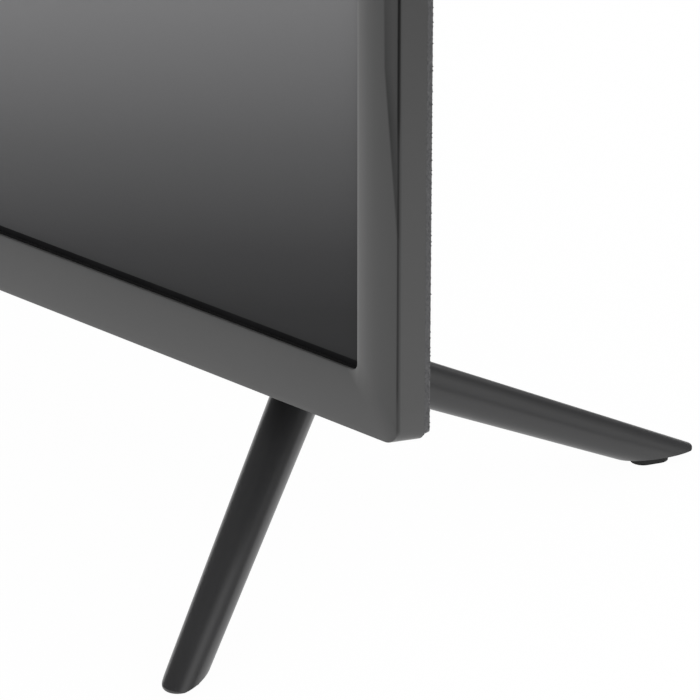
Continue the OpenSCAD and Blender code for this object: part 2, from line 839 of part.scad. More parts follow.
module ir_board() color("#2c6e49") cabinet()
    slab(ir_board_w, ir_board_h, ir_board_t, ir_board_d, boss_low_z);

module ir_lens() color("#2a1214") cabinet() {
    shoulder_w = window_w + 2*window_shoulder;
    translate([-window_w/2, window_d, -window_drop])
        cube([window_w, window_depth, window_top + window_drop]);
    translate([-shoulder_w/2, window_d, bezel_wall_t + window_gap])
        cube([shoulder_w, window_depth, window_shoulder]);
}

module board(w, x0, holes) {
    difference() {
        translate([x0, board_d, board_floor]) cube([w, board_t, board_h]);
        for (p = holes) rod(pass_r, board_d - cut, board_back_d + cut, p[0], p[1]);
    }
}

module main_board() color("#1f5d3a") cabinet() {
    board(main_w, main_left, MAIN_HOLES);
    slab(chip_side, chip_side, chip_t, board_back_d, board_mid_z, chip_x);
    for (z = [-memory_rise, memory_rise])
        slab(memory_w, memory_h, memory_t, board_back_d, board_mid_z + z, memory_x);
    for (k = [0:filter_count - 1])
        rod(filter_r, board_back_d, board_back_d + filter_h, filter_x + k*filter_pitch, filter_z);
}

module chip_heatsink() color("#8d9297") cabinet() {
    base_d = board_back_d + chip_t;
    slab(heatsink_side, heatsink_side, heatsink_base, base_d, board_mid_z, chip_x);
    for (k = [-4:4]) slab(fin_t, heatsink_side, fin_h, base_d + heatsink_base - eps, board_mid_z,
        chip_x + k*fin_pitch);
}

// A socket body on the main board, from the outer face of the socket wall inwards by len
module socket_body(z, w, h, len) {
    translate([-box_left, board_back_d, z - w/2]) cube([len, h, w]);
}

// The hole in the socket wall for such a body
module socket_hole(z, w, h) {
    translate([-box_left - cover_t, board_back_d - cutout_gap, z - w/2 - cutout_gap])
        cube([3*cover_t, h + 2*cutout_gap, w + 2*cutout_gap]);
}

module antenna_tuner() color("#aeb3b6") cabinet() {
    mid_d = board_back_d + tuner_h/2;
    can_x = main_left + tuner_in;
    end_x = -box_left - antenna_len;
    translate([can_x, board_back_d, antenna_z - tuner_w/2]) cube([tuner_len, tuner_h, tuner_w]);
    cross_rod(antenna_ring_r, -box_left, can_x + eps, mid_d, antenna_z);
    difference() {
        cross_rod(antenna_r, end_x, -box_left + eps, mid_d, antenna_z);
        cross_rod(antenna_hole_r, end_x - eps, -box_left, mid_d, antenna_z);
    }
}

module hdmi_sockets() color("#c8ccd0") cabinet()
    for (z = hdmi_z) {
        difference() {
            socket_body(z, hdmi_w, hdmi_h, hdmi_len);
            translate([-box_left - cut, board_back_d + shell_t, z - hdmi_w/2 + shell_t])
                cube([hdmi_len - shell_t + cut, hdmi_h - 2*shell_t, hdmi_w - 2*shell_t]);
        }
        translate([tongue_back - box_left, board_back_d + (hdmi_h - hdmi_tongue_t)/2, z - hdmi_tongue_w/2])
            cube([hdmi_len - tongue_back, hdmi_tongue_t, hdmi_tongue_w]);
    }

module usb_sockets() color("#c8ccd0") cabinet()
    difference() {
        socket_body(usb_z, usb_w, usb_h, usb_len);
        for (k = [0, 1]) {
            slot_d = board_back_d + usb_slot_rise + k*usb_slot_pitch;
            difference() {
                translate([-box_left - cut, slot_d, usb_z - usb_slot_w/2])
                    cube([usb_len - usb_end + cut, usb_slot_h, usb_slot_w]);
                translate([tongue_back - box_left, slot_d + usb_tongue_rise, usb_z - usb_tongue_w/2])
                    cube([usb_len, usb_tongue_t, usb_tongue_w]);
            }
        }
    }

module jack(z) {
    mid_d = board_back_d + jack_side/2;
    difference() {
        union() {
            translate([main_left - tuner_in, board_back_d, z - jack_side/2])
                cube([jack_len, jack_side, jack_side]);
            cross_rod(jack_nose_r, -box_left, main_left, mid_d, z);
        }
        cross_rod(jack_bore_r, -box_left - eps, -box_left + jack_bore_len, mid_d, z);
    }
}

module headphone_jack() color("#202022") cabinet() jack(headphone_z);

module video_jack() color("#d8b21e") cabinet() jack(video_z);

module power_board() color("#8a5a2b") cabinet() {
    board(power_w, power_left, POWER_HOLES);
    slab(heat_plate_t, heat_plate_h, heat_plate_out, board_back_d, board_mid_z, heat_plate_x);
}

module power_transformer() color("#2e2a26") cabinet() {
    for (z = [-core_rise, core_rise])
        slab(core_w, core_h, core_out, board_back_d, board_mid_z + z, core_x);
    slab(winding_w, winding_h, winding_out, board_back_d + winding_d, board_mid_z, core_x);
}

module power_capacitors() color("#22252b") cabinet() {
    rod(bulk_r, board_back_d, board_back_d + bulk_h, bulk_x, bulk_z);
    for (k = [-1:1])
        rod(output_r, board_back_d, board_back_d + output_h, output_x, board_mid_z + k*output_pitch);
}

module mains_inlet() color("#161617") cabinet() {
    hollow_x = box_right - inlet_hollow;
    mid_d = board_back_d + inlet_h/2;
    difference() {
        translate([box_right - inlet_len, board_back_d, inlet_z - inlet_w/2])
            cube([inlet_len, inlet_h, inlet_w]);
        translate([hollow_x, board_back_d + inlet_wall, inlet_z - inlet_w/2 + inlet_wall])
            cube([inlet_hollow + cut, inlet_h - 2*inlet_wall, inlet_w - 2*inlet_wall]);
    }
    for (z = [-inlet_pin_gap/2, inlet_pin_gap/2])
        cross_rod(inlet_pin_r, hollow_x - eps, hollow_x + inlet_pin_len, mid_d, inlet_z + z);
}

// A flat lead with a plug at each end, lying on the boards
module power_lead() color("#c9a24a") cabinet() {
    x0 = main_right - power_lead_over;
    x1 = power_left + power_lead_over;
    slab(x1 - x0, power_lead_w, lead_t, board_back_d, board_mid_z, (x0 + x1)/2);
    for (x = [x0, x1])
        slab(power_plug_t, power_plug_w, power_plug_t, board_back_d, board_mid_z, x);
}

module backlight_lead() color("#c43b32") cabinet() {
    low_z = board_floor - plug_len;
    plug_d = board_back_d + plug_t;
    ribbon([[tray_back_d, low_z], [tray_back_d + lead_t, low_z], [plug_d, low_z + lead_t],
        [plug_d, board_floor + plug_len]], lead_t,
        backlight_lead_x - backlight_lead_w/2, backlight_lead_x + backlight_lead_w/2);
    translate([backlight_lead_x - backlight_lead_w/2 - plug_over, board_back_d, board_floor + plug_over])
        cube([backlight_lead_w + 2*plug_over, plug_t, plug_len]);
}

module speaker_box() {
    height = speaker_top - inner_floor;
    difference() {
        translate([speaker_x, speaker_d, inner_floor]) cube([speaker_w, speaker_depth, height]);
        translate([speaker_x + speaker_wall, speaker_d + speaker_wall, inner_floor + speaker_wall])
            cube([speaker_w - 2*speaker_wall, speaker_depth - 2*speaker_wall, height - 2*speaker_wall]);
        translate([speaker_mid_x, speaker_mid_d, inner_floor - cut])
            cylinder(r = speaker_r, h = speaker_wall + 2*cut);
    }
}

module right_speaker_box() color("#1d1d1f") cabinet() speaker_box();

module left_speaker_box() color("#1d1d1f") cabinet() mirror([1, 0, 0]) speaker_box();

// The cone faces down through the hole in its box
module speaker_drivers() color("#3a3a3c") cabinet() both_sides()
    translate([speaker_mid_x, speaker_mid_d, inner_floor + speaker_wall])
        rotate_extrude() polygon([[0, dust_cap_h], [dust_cap_r, cone_h], [cone_r, 0],
            [speaker_r + speaker_flange, 0], [speaker_r + speaker_flange, basket_t],
            [cone_r, basket_t + 1], [magnet_r, magnet_low], [magnet_r, magnet_top], [0, magnet_top]]);

// A pair of wires from each speaker box up to a plug on the main board
module speaker_leads() color("#b33a32") cabinet() {
    plug_z = board_floor + wire_plug;
    run_z = speaker_top + plug_over;
    right_end_x = speaker_x + wire_in;
    for (x = [left_wire_x, right_wire_x])
        slab(wire_plug, wire_plug, plug_t, board_back_d, plug_z + wire_plug/2, x + wire_t/2);
    translate([left_wire_x, board_back_d, speaker_top]) cube([wire_t, wire_t, plug_z - speaker_top]);
    translate([right_wire_x, board_back_d, run_z]) cube([wire_t, wire_t, plug_z - run_z]);
    translate([right_wire_x, board_back_d, run_z]) cube([right_end_x - right_wire_x, wire_t, wire_t]);
    translate([right_end_x - wire_t, board_back_d, speaker_top]) cube([wire_t, wire_t, 2*plug_over]);
}

module key_board() color("#2c6e49") cabinet()
    translate([key_x - key_board_w/2, key_board_back_d - key_board_t, key_low_z])
        cube([key_board_w, key_board_t, key_high_z - key_low_z]);

module key_switches() color("#2b2b2d") cabinet()
    for (k = [0:key_count - 1]) {
        slab(switch_side, switch_side, switch_h, key_board_back_d, key_height(k), key_x);
        rod(plunger_r, key_board_back_d + switch_h - eps, switch_top_d, key_x, key_height(k));
    }

// A flat lead on the tray's back, from the main board across to the key board
module key_lead() color("#d8d2c4") cabinet() {
    run_z = box_top + box_run - key_lead_drop;
    key_end_z = key_low_z + plug_len + plug_over;
    left_x = key_x - key_lead_w/2;
    translate([left_x, tray_back_d, run_z]) cube([key_lead_w, key_lead_t, key_end_z - run_z]);
    translate([left_x, tray_back_d, key_end_z - plug_len])
        cube([key_lead_w, key_board_back_d - key_board_t - tray_back_d, plug_len]);
    translate([key_lead_x, tray_back_d, run_z]) cube([key_x - key_lead_x, key_lead_t, key_lead_w]);
    translate([key_lead_x, tray_back_d, board_top])
        cube([key_lead_w, key_lead_t, run_z + eps - board_top]);
    translate([key_lead_x, tray_back_d, board_top])
        cube([key_lead_w, board_back_d - tray_back_d, plug_t]);
}

module key(k) {
    cap_d = back_d + key_proud;
    rod(key_r + key_flange_over, key_flange_d - key_flange_t, key_flange_d, key_x, key_height(k));
    rod(key_r, key_flange_d - eps, cap_d - key_edge, key_x, key_height(k));
    taper(key_r, key_r - key_edge, cap_d - key_edge - eps, cap_d, key_x, key_height(k));
}

module power_key() color("#2a2a2c") cabinet() key(0);

module source_key() color("#2a2a2c") cabinet() key(1);

module menu_key() color("#2a2a2c") cabinet() key(2);

module volume_down_key() color("#2a2a2c") cabinet() key(3);

module volume_up_key() color("#2a2a2c") cabinet() key(4);

module channel_down_key() color("#2a2a2c") cabinet() key(5);

module channel_up_key() color("#2a2a2c") cabinet() key(6);

// The cover's outer form, or with t its inner form, open towards the bezel
module cover_form(front, t) {
    intersection() {
        upright(inset(cover_plan(front), t), rim_z - cut, rim_z + rim_h + cut);
        flared_slab(rim_w - 2*t, rim_h - 2*t, rim_corner_r - t, front - eps, box_d + cut, 0, rim_z + t);
        union() {
            level(inset(bar_side(front), t), -rim_w, rim_w);
            level(inset(box_side(), t), -box_left + t, box_right - t);
        }
    }
}

module cover_posts() {
    for (p = COVER_SCREWS) rod(well_r + well_wall, bezel_depth, box_d, p[0], p[1]);
    for (z = [key_low_z + key_post_in, key_high_z - key_post_in])
        rod(key_post_r, key_board_back_d, back_d, key_x, z);
}

// Slots in the back of the electronics box and in its leaning top
module vent_slots() {
    count = floor((box_left + box_right - 2*vent_side)/vent_pitch);
    first_x = (box_right - box_left - (count - 1)*vent_pitch)/2;
    for (k = [0:count - 1]) {
        x = first_x + k*vent_pitch;
        slab(vent_w, vent_len, 3*cover_t, box_d - 2*cover_t, box_top - vent_edge - vent_len/2, x);
        slab(vent_w, slope_vent_h, box_depth, back_d + cover_t,
            box_top + slope_vent_rise + slope_vent_h/2, x);
    }
}

module speaker_grilles() {
    for (k = [0:grille_count - 1])
        translate([speaker_mid_x + (k - (grille_count - 1)/2)*grille_pitch - grille_w/2,
            speaker_mid_d - speaker_r, cover_floor - cut])
            cube([grille_w, 2*speaker_r, cover_t + 2*cut]);
}

module socket_cutouts() {
    wall_x = -box_left - cut;
    inner_x = -box_left + 2*cover_t;
    for (z = hdmi_z) socket_hole(z, hdmi_w, hdmi_h);
    socket_hole(usb_z, usb_w, usb_h);
    for (z = [headphone_z, video_z])
        cross_rod(jack_nose_r + cutout_gap, wall_x, inner_x, board_back_d + jack_side/2, z);
    cross_rod(antenna_ring_r + cutout_gap, wall_x, inner_x, board_back_d + tuner_h/2, antenna_z);
    translate([box_right - 2*cover_t, board_back_d - cutout_gap, inlet_z - inlet_w/2 - cutout_gap])
        cube([2*cover_t + cut, inlet_h + 2*cutout_gap, inlet_w + 2*cutout_gap]);
}

module rear_cover() color("#2f2f31") cabinet()
    difference() {
        union() {
            difference() {
                cover_form(bezel_depth, 0);
                cover_form(bezel_depth - 3*cover_t, cover_t);
            }
            intersection() {
                cover_form(bezel_depth, 0);
                cover_posts();
            }
        }
        for (p = COVER_SCREWS) {
            rod(well_r, bezel_depth + well_floor_t, box_d, p[0], p[1]);
            rod(pass_r, bezel_depth - cut, box_d, p[0], p[1]);
        }
        for (p = INSERTS) rod(insert_r + insert_gap, back_d - 2*cover_t, back_d + cut, p[0], p[1]);
        for (k = [0:key_count - 1])
            rod(key_r + key_gap, back_d - 2*cover_t, back_d + cut, key_x, key_height(k));
        socket_cutouts();
        vent_slots();
        both_sides() speaker_grilles();
        both_sides() for (s = LEG_SCREWS_IN)
            translate([leg_x - s, head_depth, cover_floor - cut])
                cylinder(r = leg_screw_r + 2*pass_gap, h = cover_t + 2*cut);
    }

module vesa_inserts() color("#c9ccce") cabinet()
    for (p = INSERTS) difference() {
        union() {
            rod(insert_foot_r, tray_back_d, tray_back_d + insert_foot_t, p[0], p[1]);
            rod(insert_r, tray_back_d, back_d, p[0], p[1]);
        }
        rod(insert_hole_r, tray_back_d + insert_foot_t, back_d + eps, p[0], p[1]);
    }

module cover_screws() color("#4a4a4c") cabinet()
    for (p = COVER_SCREWS) small_screw(p[0], p[1], bezel_depth + well_floor_t + screw_head_h,
        well_floor_t + boss_hole_d - screw_end_gap);

module board_screws() color("#c4c4c4") cabinet()
    for (p = concat(MAIN_HOLES, POWER_HOLES))
        small_screw(p[0], p[1], board_back_d + screw_head_h, board_t + standoff_h - screw_end_gap);

// An angle on the cover's floor, screwed through it to the stand and held to the tray's back
module leg_bracket() {
    x0 = leg_x - plate_in;
    length = plate_in - bracket_end;
    difference() {
        union() {
            translate([x0, tray_back_d, inner_floor])
                cube([length, head_depth + plate_w/2 - tray_back_d, bracket_t]);
            translate([x0, tray_back_d, inner_floor]) cube([length, bracket_wall_t, bracket_h]);
        }
        for (s = LEG_SCREWS_IN) translate([leg_x - s, head_depth, inner_floor - cut])
            cylinder(r = leg_screw_r + thread_gap, h = bracket_t + 2*cut);
    }
}

module right_leg_bracket() color("#a8abae") cabinet() leg_bracket();

module left_leg_bracket() color("#a8abae") cabinet() mirror([1, 0, 0]) leg_bracket();

// Middle of a foot on the floor; side is -1 at the front and 1 at the rear
function foot(side) = [leg_x + leg_splay, side*leg_reach, pad_t];

// A pad sits back from the tip along its leg
function pad_place(side) = foot(side) - [cos(leg_turn), side*sin(leg_turn), 0]*pad_back;

// One leg, mitred at the middle of the stand and rounded at its tip
module tapered_leg(side) {
    difference() {
        translate([leg_x, 0, apex_z]) rotate([0, leg_tilt, side*leg_turn])
            rotate([0, 0, side*leg_roll]) translate([0, 0, -leg_over])
                cylinder(r1 = leg_r_top + leg_taper*leg_over, r2 = leg_r_foot - leg_taper*leg_over,
                    h = leg_len + 2*leg_over);
        translate([leg_x - far, side > 0 ? -far : 0, apex_z - far]) cube([2*far, far, 2*far]);
        translate(foot(side)) rotate([0, 0, side*leg_turn]) translate([tip_reach - tip_r, 0, -far/2])
            difference() {
                translate([0, -far/2, 0]) cube([far, far, far]);
                translate([0, 0, -cut]) cylinder(r = tip_r, h = far + 2*cut);
            }
    }
}

// Two tapered legs that meet under a head plate, cut flat at the floor and at the seat
module leg() {
    difference() {
        union() {
            tapered_leg(-1);
            tapered_leg(1);
            translate([leg_x - plate_in, -plate_w/2, seat_z - plate_t])
                cube([plate_in + plate_out, plate_w, plate_t]);
        }
        translate([0, -2*leg_reach, pad_t - far]) cube([front_w, 4*leg_reach, far]);
        translate([0, -2*leg_reach, seat_z]) cube([front_w, 4*leg_reach, far]);
        for (side = [-1, 1]) translate(pad_place(side) - [0, 0, cut])
            cylinder(r = pad_stud_r + pad_stud_gap, h = pad_stud + pad_stud_gap + cut);
        for (s = LEG_SCREWS_IN) translate([leg_x - s, 0, seat_z - plate_t]) {
            translate([0, 0, -cut]) cylinder(r = leg_screw_r + pass_gap, h = plate_t + 2*cut);
            translate([0, 0, -far]) cylinder(r = leg_screw_head_r + pass_gap, h = far + leg_counterbore);
        }
    }
}

module right_leg() color("#2b2b2c") leg();

module left_leg() color("#2b2b2c") mirror([1, 0, 0]) leg();

module foot_pads() {
    for (side = [-1, 1]) translate(pad_place(side) - [0, 0, pad_t]) rotate([0, 0, side*leg_turn]) {
        for (x = [-pad_straight/2, pad_straight/2]) translate([x, 0, 0]) cylinder(r = pad_r, h = pad_t);
        translate([-pad_straight/2, -pad_r, 0]) cube([pad_straight, 2*pad_r, pad_t]);
        cylinder(r = pad_stud_r, h = pad_t + pad_stud);
    }
}

module right_foot_pads() color("#151515") foot_pads();

module left_foot_pads() color("#151515") mirror([1, 0, 0]) foot_pads();

module leg_screws() color("#3c3c3e") both_sides()
    for (s = LEG_SCREWS_IN) translate([leg_x - s, 0, seat_z - plate_t + leg_counterbore]) {
        translate([0, 0, -leg_screw_head_h]) cylinder(r = leg_screw_head_r, h = leg_screw_head_h);
        cylinder(r = leg_screw_r, h = leg_screw_len);
    }

front_bezel();
panel_gasket();
lcd_panel();
middle_frame();
prism_sheet();
diffusion_sheet();
diffuser_plate();
reflector_sheet();
led_bars();
led_lenses();
diffuser_supports();
backlight_tray();
source_board();
source_films();
panel_cable();
panel_clips();
clip_screws();
ir_board();
ir_lens();
main_board();
chip_heatsink();
antenna_tuner();
hdmi_sockets();
usb_sockets();
headphone_jack();
video_jack();
power_board();
power_transformer();
power_capacitors();
mains_inlet();
power_lead();
backlight_lead();
left_speaker_box();
right_speaker_box();
speaker_drivers();
speaker_leads();
key_board();
key_switches();
key_lead();
power_key();
source_key();
menu_key();
volume_down_key();
volume_up_key();
channel_down_key();
channel_up_key();
rear_cover();
vesa_inserts();
cover_screws();
board_screws();
left_leg_bracket();
right_leg_bracket();
left_leg();
right_leg();
left_foot_pads();
right_foot_pads();
leg_screws();
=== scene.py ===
import math

import bmesh
import bpy
import mathutils
from mathutils import Matrix, Vector


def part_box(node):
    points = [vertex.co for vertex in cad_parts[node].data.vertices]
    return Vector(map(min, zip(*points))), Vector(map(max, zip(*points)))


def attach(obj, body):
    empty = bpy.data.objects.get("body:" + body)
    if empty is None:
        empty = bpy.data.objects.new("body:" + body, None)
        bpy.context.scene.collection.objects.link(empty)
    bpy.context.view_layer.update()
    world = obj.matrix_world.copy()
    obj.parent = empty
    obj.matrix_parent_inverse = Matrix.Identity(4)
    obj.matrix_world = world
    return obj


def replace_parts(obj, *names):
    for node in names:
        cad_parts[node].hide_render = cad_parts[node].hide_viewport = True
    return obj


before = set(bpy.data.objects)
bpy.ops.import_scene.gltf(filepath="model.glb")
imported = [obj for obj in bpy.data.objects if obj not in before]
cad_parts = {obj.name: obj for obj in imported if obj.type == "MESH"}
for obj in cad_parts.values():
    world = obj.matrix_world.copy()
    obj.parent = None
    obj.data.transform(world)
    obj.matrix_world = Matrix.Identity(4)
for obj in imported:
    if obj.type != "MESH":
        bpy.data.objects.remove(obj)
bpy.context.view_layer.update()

# The camera stands to the right of the set and above it, in front of its lower right corner. Its lens
# is long, so that the corner and the right stand fill the frame.
MM = 0.001
AIM = Vector((347.78, -39.0, 81.58)) * MM
DISTANCE = 1157.5 * MM
AZIMUTH = math.radians(43.586)
ELEVATION = math.radians(23.405)
LENS_MM = 213.07
SENSOR_MM = 36.0
FAR_LIMIT = 30.0

rightwards = Vector((math.cos(AZIMUTH), math.sin(AZIMUTH), 0))
backwards = Vector((math.sin(AZIMUTH) * math.cos(ELEVATION),
                    -math.cos(AZIMUTH) * math.cos(ELEVATION), math.sin(ELEVATION)))
upwards = backwards.cross(rightwards)
lens = bpy.data.cameras.new("camera")
lens.lens = LENS_MM
lens.sensor_width = SENSOR_MM
lens.clip_end = FAR_LIMIT
camera = bpy.data.objects.new("camera", lens)
facing = Matrix((rightwards, upwards, backwards)).transposed().to_4x4()
camera.matrix_world = Matrix.Translation(AIM + DISTANCE * backwards) @ facing
bpy.context.scene.collection.objects.link(camera)
bpy.context.scene.camera = camera
bpy.context.scene.view_settings.view_transform = "Standard"

# The studio is a table of white paper over a dark floor that the camera sees as white, under an even
# white sky with soft boxes. The paper stays white in the picture and in reflections, and takes a faint
# shadow where the stands touch it.
PAPER_SHADOW = 0.025
PAPER_WHITE = 0.9
TABLE_CORNER = Vector((366, -39, 0)) * MM
TABLE_FRONT = 338 * MM
TABLE_WIDE = 2.6
TABLE_BACK = 3.2
FLOOR_REACH = 9.0
FLOOR_DROP = 1 * MM
FLOOR_GREY = 0.08
SKY = 0.95
SKY_GLOSS = 0.16
WHITE = (1.0, 1.0, 1.0, 1.0)


class Shade:
    """A socket in a material, so that shader maths can be written as Python expressions."""

    def __init__(self, tree, socket):
        self.tree = tree
        self.socket = socket

    def node(self, kind, settings=None, sockets=None, output=0):
        """A new node: its settings are set first, then its sockets are set or linked."""
        made = self.tree.nodes.new(kind)
        for name, value in (settings or {}).items():
            if name == "stops":
                stops = made.color_ramp.elements
                stops.remove(stops[0])
                stops[0].position, stops[0].color = value[0]
                for at, colour in value[1:]:
                    stops.new(at).color = colour
            else:
                setattr(made, name, value)
        for name, value in (sockets or {}).items():
            if isinstance(value, Shade):
                self.tree.links.new(value.socket, made.inputs[name])
            else:
                made.inputs[name].default_value = value
        return Shade(self.tree, made.outputs[output])

    def sibling(self, name):
        """Another output of the same node."""
        return Shade(self.tree, self.socket.node.outputs[name])

    def maths(self, operation, first, second):
        """A Math node on two shades or numbers."""
        return self.node("ShaderNodeMath", {"operation": operation}, {0: first, 1: second})

    def __add__(self, other):
        return self.maths("ADD", self, other)

    def __radd__(self, other):
        return self.maths("ADD", other, self)

    def __sub__(self, other):
        return self.maths("SUBTRACT", self, other)

    def __rsub__(self, other):
        return self.maths("SUBTRACT", other, self)

    def __mul__(self, other):
        return self.maths("MULTIPLY", self, other)

    def __rmul__(self, other):
        return self.maths("MULTIPLY", other, self)

    def __truediv__(self, other):
        return self.maths("DIVIDE", self, other)


def stage_sheet(name, corners, height, albedo, paleness):
    """A flat sheet of the studio that is white where it is seen straight, in the share paleness."""
    mesh = bmesh.new()
    mesh.faces.new([mesh.verts.new((x, y, height)) for x, y in corners])
    data = bpy.data.meshes.new(name)
    mesh.to_mesh(data)
    mesh.free()
    made = bpy.data.objects.new(name, data)
    bpy.context.scene.collection.objects.link(made)
    material = bpy.data.materials.new(name)
    material.use_nodes = True
    tree = material.node_tree
    tree.nodes.clear()
    start = Shade(tree, None)
    bare = start.node("ShaderNodeBsdfDiffuse", {}, {"Color": (albedo, albedo, albedo, 1.0)})
    glow = start.node("ShaderNodeEmission", {}, {"Color": WHITE, "Strength": 1.0})
    mixed = start.node("ShaderNodeMixShader", {}, {0: paleness(start), 1: bare, 2: glow})
    tree.links.new(mixed.socket, tree.nodes.new("ShaderNodeOutputMaterial").inputs["Surface"])
    data.materials.append(material)


def rays(shade, *names):
    """1 for rays of the named kinds, and 0 for the others."""
    path = shade.node("ShaderNodeLightPath")
    total = path.sibling(names[0])
    for name in names[1:]:
        total = total + path.sibling(name)
    return shade.maths("MINIMUM", total, 1.0)


def lamp(name, place, aim, size, power):
    """A square soft box that faces the point aim."""
    light = bpy.data.lights.new(name, "AREA")
    light.size = size
    light.energy = power
    box = bpy.data.objects.new(name, light)
    box.location = place
    box.rotation_euler = (Vector(aim) - Vector(place)).to_track_quat("-Z", "Y").to_euler()
    bpy.context.scene.collection.objects.link(box)


ahead = Vector((backwards.x, backwards.y, 0)).normalized()
front_left = TABLE_CORNER + ahead * TABLE_FRONT - rightwards * TABLE_WIDE
front_right = TABLE_CORNER + ahead * TABLE_FRONT + rightwards * TABLE_WIDE
table = [front_left, front_right, front_right - ahead * TABLE_BACK, front_left - ahead * TABLE_BACK]
stage_sheet("table", [(p.x, p.y) for p in table], 0.0, PAPER_WHITE,
            lambda start: rays(start, "Is Camera Ray", "Is Glossy Ray", "Is Transmission Ray")
            * (1 - PAPER_SHADOW))
ground = [(-FLOOR_REACH, -FLOOR_REACH), (FLOOR_REACH, -FLOOR_REACH),
          (FLOOR_REACH, FLOOR_REACH), (-FLOOR_REACH, FLOOR_REACH)]
stage_sheet("studio floor", ground, -FLOOR_DROP, FLOOR_GREY,
            lambda start: rays(start, "Is Camera Ray", "Is Transmission Ray"))

sky = bpy.data.worlds.new("sky")
bpy.context.scene.world = sky
sky.use_nodes = True
tree = sky.node_tree
tree.nodes.clear()
start = Shade(tree, None)
straight = rays(start, "Is Camera Ray", "Is Transmission Ray")
mirrored = rays(start, "Is Glossy Ray")
strength = SKY + straight * (1 - SKY) + mirrored * (SKY_GLOSS - SKY)
dome = start.node("ShaderNodeBackground", {}, {"Color": WHITE, "Strength": strength})
tree.links.new(dome.socket, tree.nodes.new("ShaderNodeOutputWorld").inputs["Surface"])

lamp("side soft box", place=(2.3, 0.6, 1.35), aim=(0.3, 0.0, 0.2), size=2.4, power=11.0)
lamp("high soft box", place=(1.35, 1.1, 1.8), aim=(0.34, -0.05, 0.05), size=1.6, power=2.7)
lamp("rear soft box", place=(-0.9, 2.4, 1.7), aim=(0.0, 0.0, 0.2), size=1.4, power=5.0)
lamp("back soft box", place=(-2.0, 1.9, 0.8), aim=(0.0, 0.0, 0.3), size=1.0, power=14.0)

# The panel is liquid crystal glass with a matt film over its picture and a black printed border. It is
# a flat slab that the bezel's lip holds from the front. The film's colour carries a painted sheen, a
# painted reflection that is deep at the picture's foot and paler higher up.
GLASS_BORDER = 5.3 * MM
GLASS_EDGE = 0.15 * MM
FILM_GRAIN = 0.35 * MM
FILM_SPARKLE = 0.006
FILM_DEPTH = 0.004 * MM
FILM_DRIFT = 60 * MM
FILM_ROUGH = 0.19
BORDER_DRIFT = 9 * MM
BORDER_GRAIN = 2 * MM
BORDER_ROUGH = 0.62
# The painted sheen runs slantwise over the picture: each stop is a distance in metres that way, and its
# grey.
PAINTED_SHEEN_X = -0.231
PAINTED_SHEEN_Z = 0.9177
PAINTED_SHEEN = ((-0.018, "323233"), (0.003, "363637"), (0.02, "434344"), (0.05, "606061"), (0.088, "818182"),
         (0.16, "9a9a9c"), (0.30, "adadb0"), (0.542, "b9b9bd"))


def tone(code):
    """A colour as it shows on a screen, six digits, as the shader's linear colour by the sRGB curve."""
    parts = [int(code[i:i + 2], 16) / 255 for i in (0, 2, 4)]
    return (*[c / 12.92 if c <= 0.04045 else ((c + 0.055) / 1.055) ** 2.4 for c in parts], 1.0)


def finish(name, fixed=None):
    """A new material with its constant sockets set, its shader, and its Object coordinates."""
    material = bpy.data.materials.new(name)
    material.use_nodes = True
    shader = material.node_tree.nodes["Principled BSDF"]
    for socket, value in (fixed or {}).items():
        shader.inputs[socket].default_value = value
    spot = Shade(material.node_tree, None).node("ShaderNodeTexCoord", output="Object")
    return material, shader, spot


def feed(shader, **shades):
    """Links shades to the shader's sockets; an underscore in a keyword stands for a space."""
    for name, shade in shades.items():
        shade.tree.links.new(shade.socket, shader.inputs[name.replace("_", " ")])


def noise(spot, size, detail=2.0, rough=0.5):
    """Cloudy noise whose lumps are about size metres across."""
    return spot.node("ShaderNodeTexNoise", {}, {"Vector": spot, "Scale": 1 / size, "Detail": detail,
                                                 "Roughness": rough})


def ramp(shade, *stops):
    """A colour that runs straight between stops of a shade's value and a colour."""
    return shade.node("ShaderNodeValToRGB", {"stops": stops}, {"Fac": shade})


def bump(height, depth, strength, under=None):
    """A rough surface of the given depth, over the surface's own normal or the one given."""
    sockets = {"Height": height, "Distance": depth, "Strength": strength}
    if under:
        sockets["Normal"] = under
    return height.node("ShaderNodeBump", {}, sockets)


def piece(name, mesh, body, materials, smooth=35.0):
    """Makes a mesh an object that rides on a body, with faces smooth up to an angle in degrees."""
    data = bpy.data.meshes.new(name)
    mesh.to_mesh(data)
    mesh.free()
    data.shade_smooth()
    data.set_sharp_from_angle(angle=math.radians(smooth))
    for material in materials:
        data.materials.append(material)
    made = bpy.data.objects.new(name, data)
    bpy.context.scene.collection.objects.link(made)
    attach(made, body)
    return made


low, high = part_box("lcd_panel")
mesh = bmesh.new()
bmesh.ops.create_cube(mesh, size=1.0)
bmesh.ops.transform(mesh, verts=mesh.verts,
                    matrix=Matrix.Translation((low + high) / 2) @ Matrix.Diagonal((*(high - low), 1.0)))
bmesh.ops.bevel(mesh, geom=mesh.edges[:], offset=GLASS_EDGE, offset_type="OFFSET", affect="EDGES",
                segments=1, profile=0.5, material=-1)
face = min(mesh.faces, key=lambda f: f.calc_center_median().y)
for f in mesh.faces:
    f.material_index = 1
bmesh.ops.inset_region(mesh, faces=[face], thickness=GLASS_BORDER - GLASS_EDGE, use_even_offset=True)
face.material_index = 0

picture, shader, spot = finish("matt screen film", {"Specular IOR Level": 0.06})
across = spot.node("ShaderNodeSeparateXYZ", {}, {0: spot})
painted_sheen_low = PAINTED_SHEEN[0][0]
painted_sheen_span = PAINTED_SHEEN[-1][0] - painted_sheen_low
# The film's base colour follows the painted sheen, a painted reflection, along its slanting direction.
run = (across * PAINTED_SHEEN_X + across.sibling("Z") * PAINTED_SHEEN_Z - painted_sheen_low) / painted_sheen_span
sparkle = noise(spot, FILM_GRAIN, 1.0)
feed(shader,
     Base_Color=ramp(run + (sparkle - 0.5) * FILM_SPARKLE,
                     *[((at - painted_sheen_low) / painted_sheen_span, tone(code)) for at, code in PAINTED_SHEEN]),
     Roughness=FILM_ROUGH + noise(spot, FILM_DRIFT) * 0.05,
     Normal=bump(sparkle, FILM_DEPTH, 0.5))

